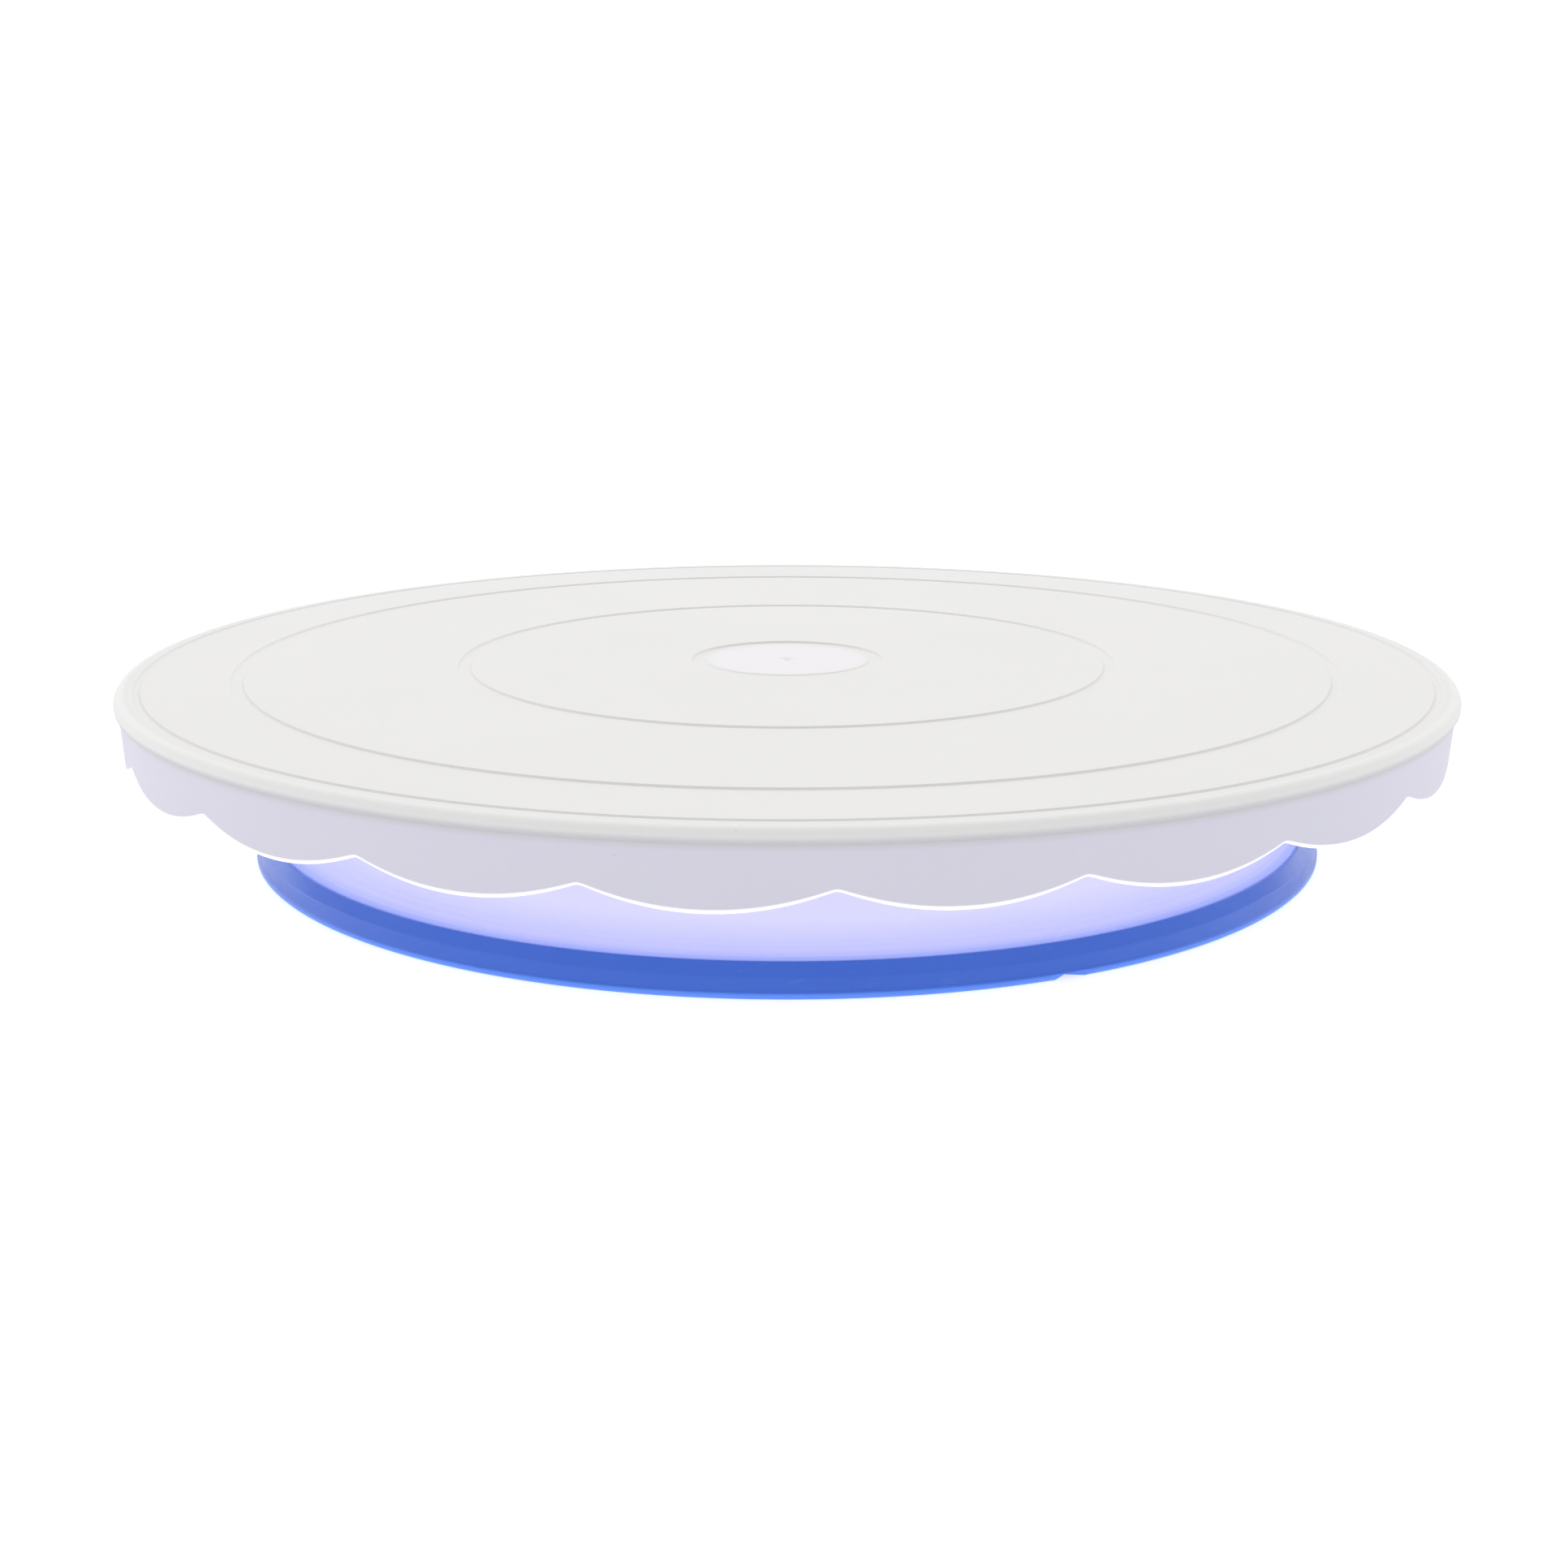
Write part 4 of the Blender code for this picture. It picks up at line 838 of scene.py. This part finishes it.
def make_studio():
    """A light tent: a glowing pale table, walls bright behind and at the sides and dimmer in front."""
    finish, tree = new_finish("pale_table")
    straight = add(tree, "ShaderNodeLightPath").outputs["Is Camera Ray"]
    glow = spread(tree, straight, 0.0, 1.0, 0.22, 0.62)
    shader = add(tree, "ShaderNodeBsdfPrincipled", {
        "Base Color": linear("F0F0F2"), "Roughness": 0.9, "Specular IOR Level": 0.1,
        "Emission Color": linear("FFFFFF"), "Emission Strength": glow})
    add(tree, "ShaderNodeOutputMaterial", {"Surface": shader})
    mesh = bpy.data.meshes.new("table")
    half = 12.0
    corners = [(x * half, y * half, 0.0) for x, y in ((-1, -1), (1, -1), (1, 1), (-1, 1))]
    mesh.from_pydata(corners, [], [(0, 1, 2, 3)])
    mesh.materials.append(finish)
    table = bpy.data.objects.new("table", mesh)
    bpy.context.scene.collection.objects.link(table)

    world = bpy.data.worlds.new("tent")
    bpy.context.scene.world = world
    world.use_nodes = True
    tree = world.node_tree
    tree.nodes.clear()
    direction = add(tree, "ShaderNodeSeparateXYZ", {0: add(tree, "ShaderNodeTexCoord").outputs["Generated"]})
    depth = spread(tree, direction.outputs[1], -1.0, 0.9, 0.5, 1.08, interpolation_type="SMOOTHSTEP")
    wall = maths(tree, "MULTIPLY_ADD", direction.outputs[0], -0.05, depth)
    straight = add(tree, "ShaderNodeLightPath").outputs["Is Camera Ray"]
    seen = add(tree, "ShaderNodeMix", {"Factor": straight, "A": wall, "B": 1.1}, data_type="FLOAT")
    light = add(tree, "ShaderNodeBackground", {"Color": linear("FFFFFF"), "Strength": seen})
    add(tree, "ShaderNodeOutputWorld", {"Surface": light})

    soft_box("overhead", (0.0, 0.45, 1.2), (0.0, 0.0, 0.03), (1.4, 0.9), 2.2)
    bpy.context.scene.view_settings.view_transform = "Standard"


def make_camera():
    """In front, looking down a little; the plate's middle sits above the middle of the view."""
    pitch = math.radians(14.08)
    distance = 517.0 * MM
    plate_right = 0.7 * MM
    plate_up = 29.7 * MM
    forward = Vector((0.0, math.cos(pitch), -math.sin(pitch)))
    up = Vector((0.0, math.sin(pitch), math.cos(pitch)))
    lens = bpy.data.cameras.new("camera")
    lens.sensor_width = 36.0
    lens.lens = 50.36
    holder = bpy.data.objects.new("camera", lens)
    holder.location = Vector((-plate_right, 0.0, TOP)) - up * plate_up - forward * distance
    holder.rotation_euler = (math.pi / 2 - pitch, 0.0, 0.0)
    bpy.context.scene.collection.objects.link(holder)
    bpy.context.scene.camera = holder


TURNED = turning_tree()
REPEATED = repeating_tree()
PLATE_FINISH = spark_eroded_polypropylene()
BASE_FINISH = polished_polypropylene()
GRIP_FINISH = thermoplastic_rubber()
RACE_FINISH = ground_steel("ground_race_steel", "A9ABAF", 0.35 * MM, 0.24)
BALL_FINISH = ground_steel("bearing_ball_steel", "C9CBCF", 0.8 * MM, 0.08)
SCREW_FINISH = ground_steel("zinc_plated_steel", "B4BAC4", 0.5 * MM, 0.28)
CAGE_FINISH = plain_moulding("natural_nylon", "EAE4D2", "E0D8C2", 0.36, 0.46)
BUSH_FINISH = plain_moulding("black_acetal", "1B1C1E", "242527", 0.28, 0.38)

make_camera()
make_plate()
make_base()
make_grip()
make_bearing()
make_pivot()
make_studio()

bpy.context.view_layer.update()
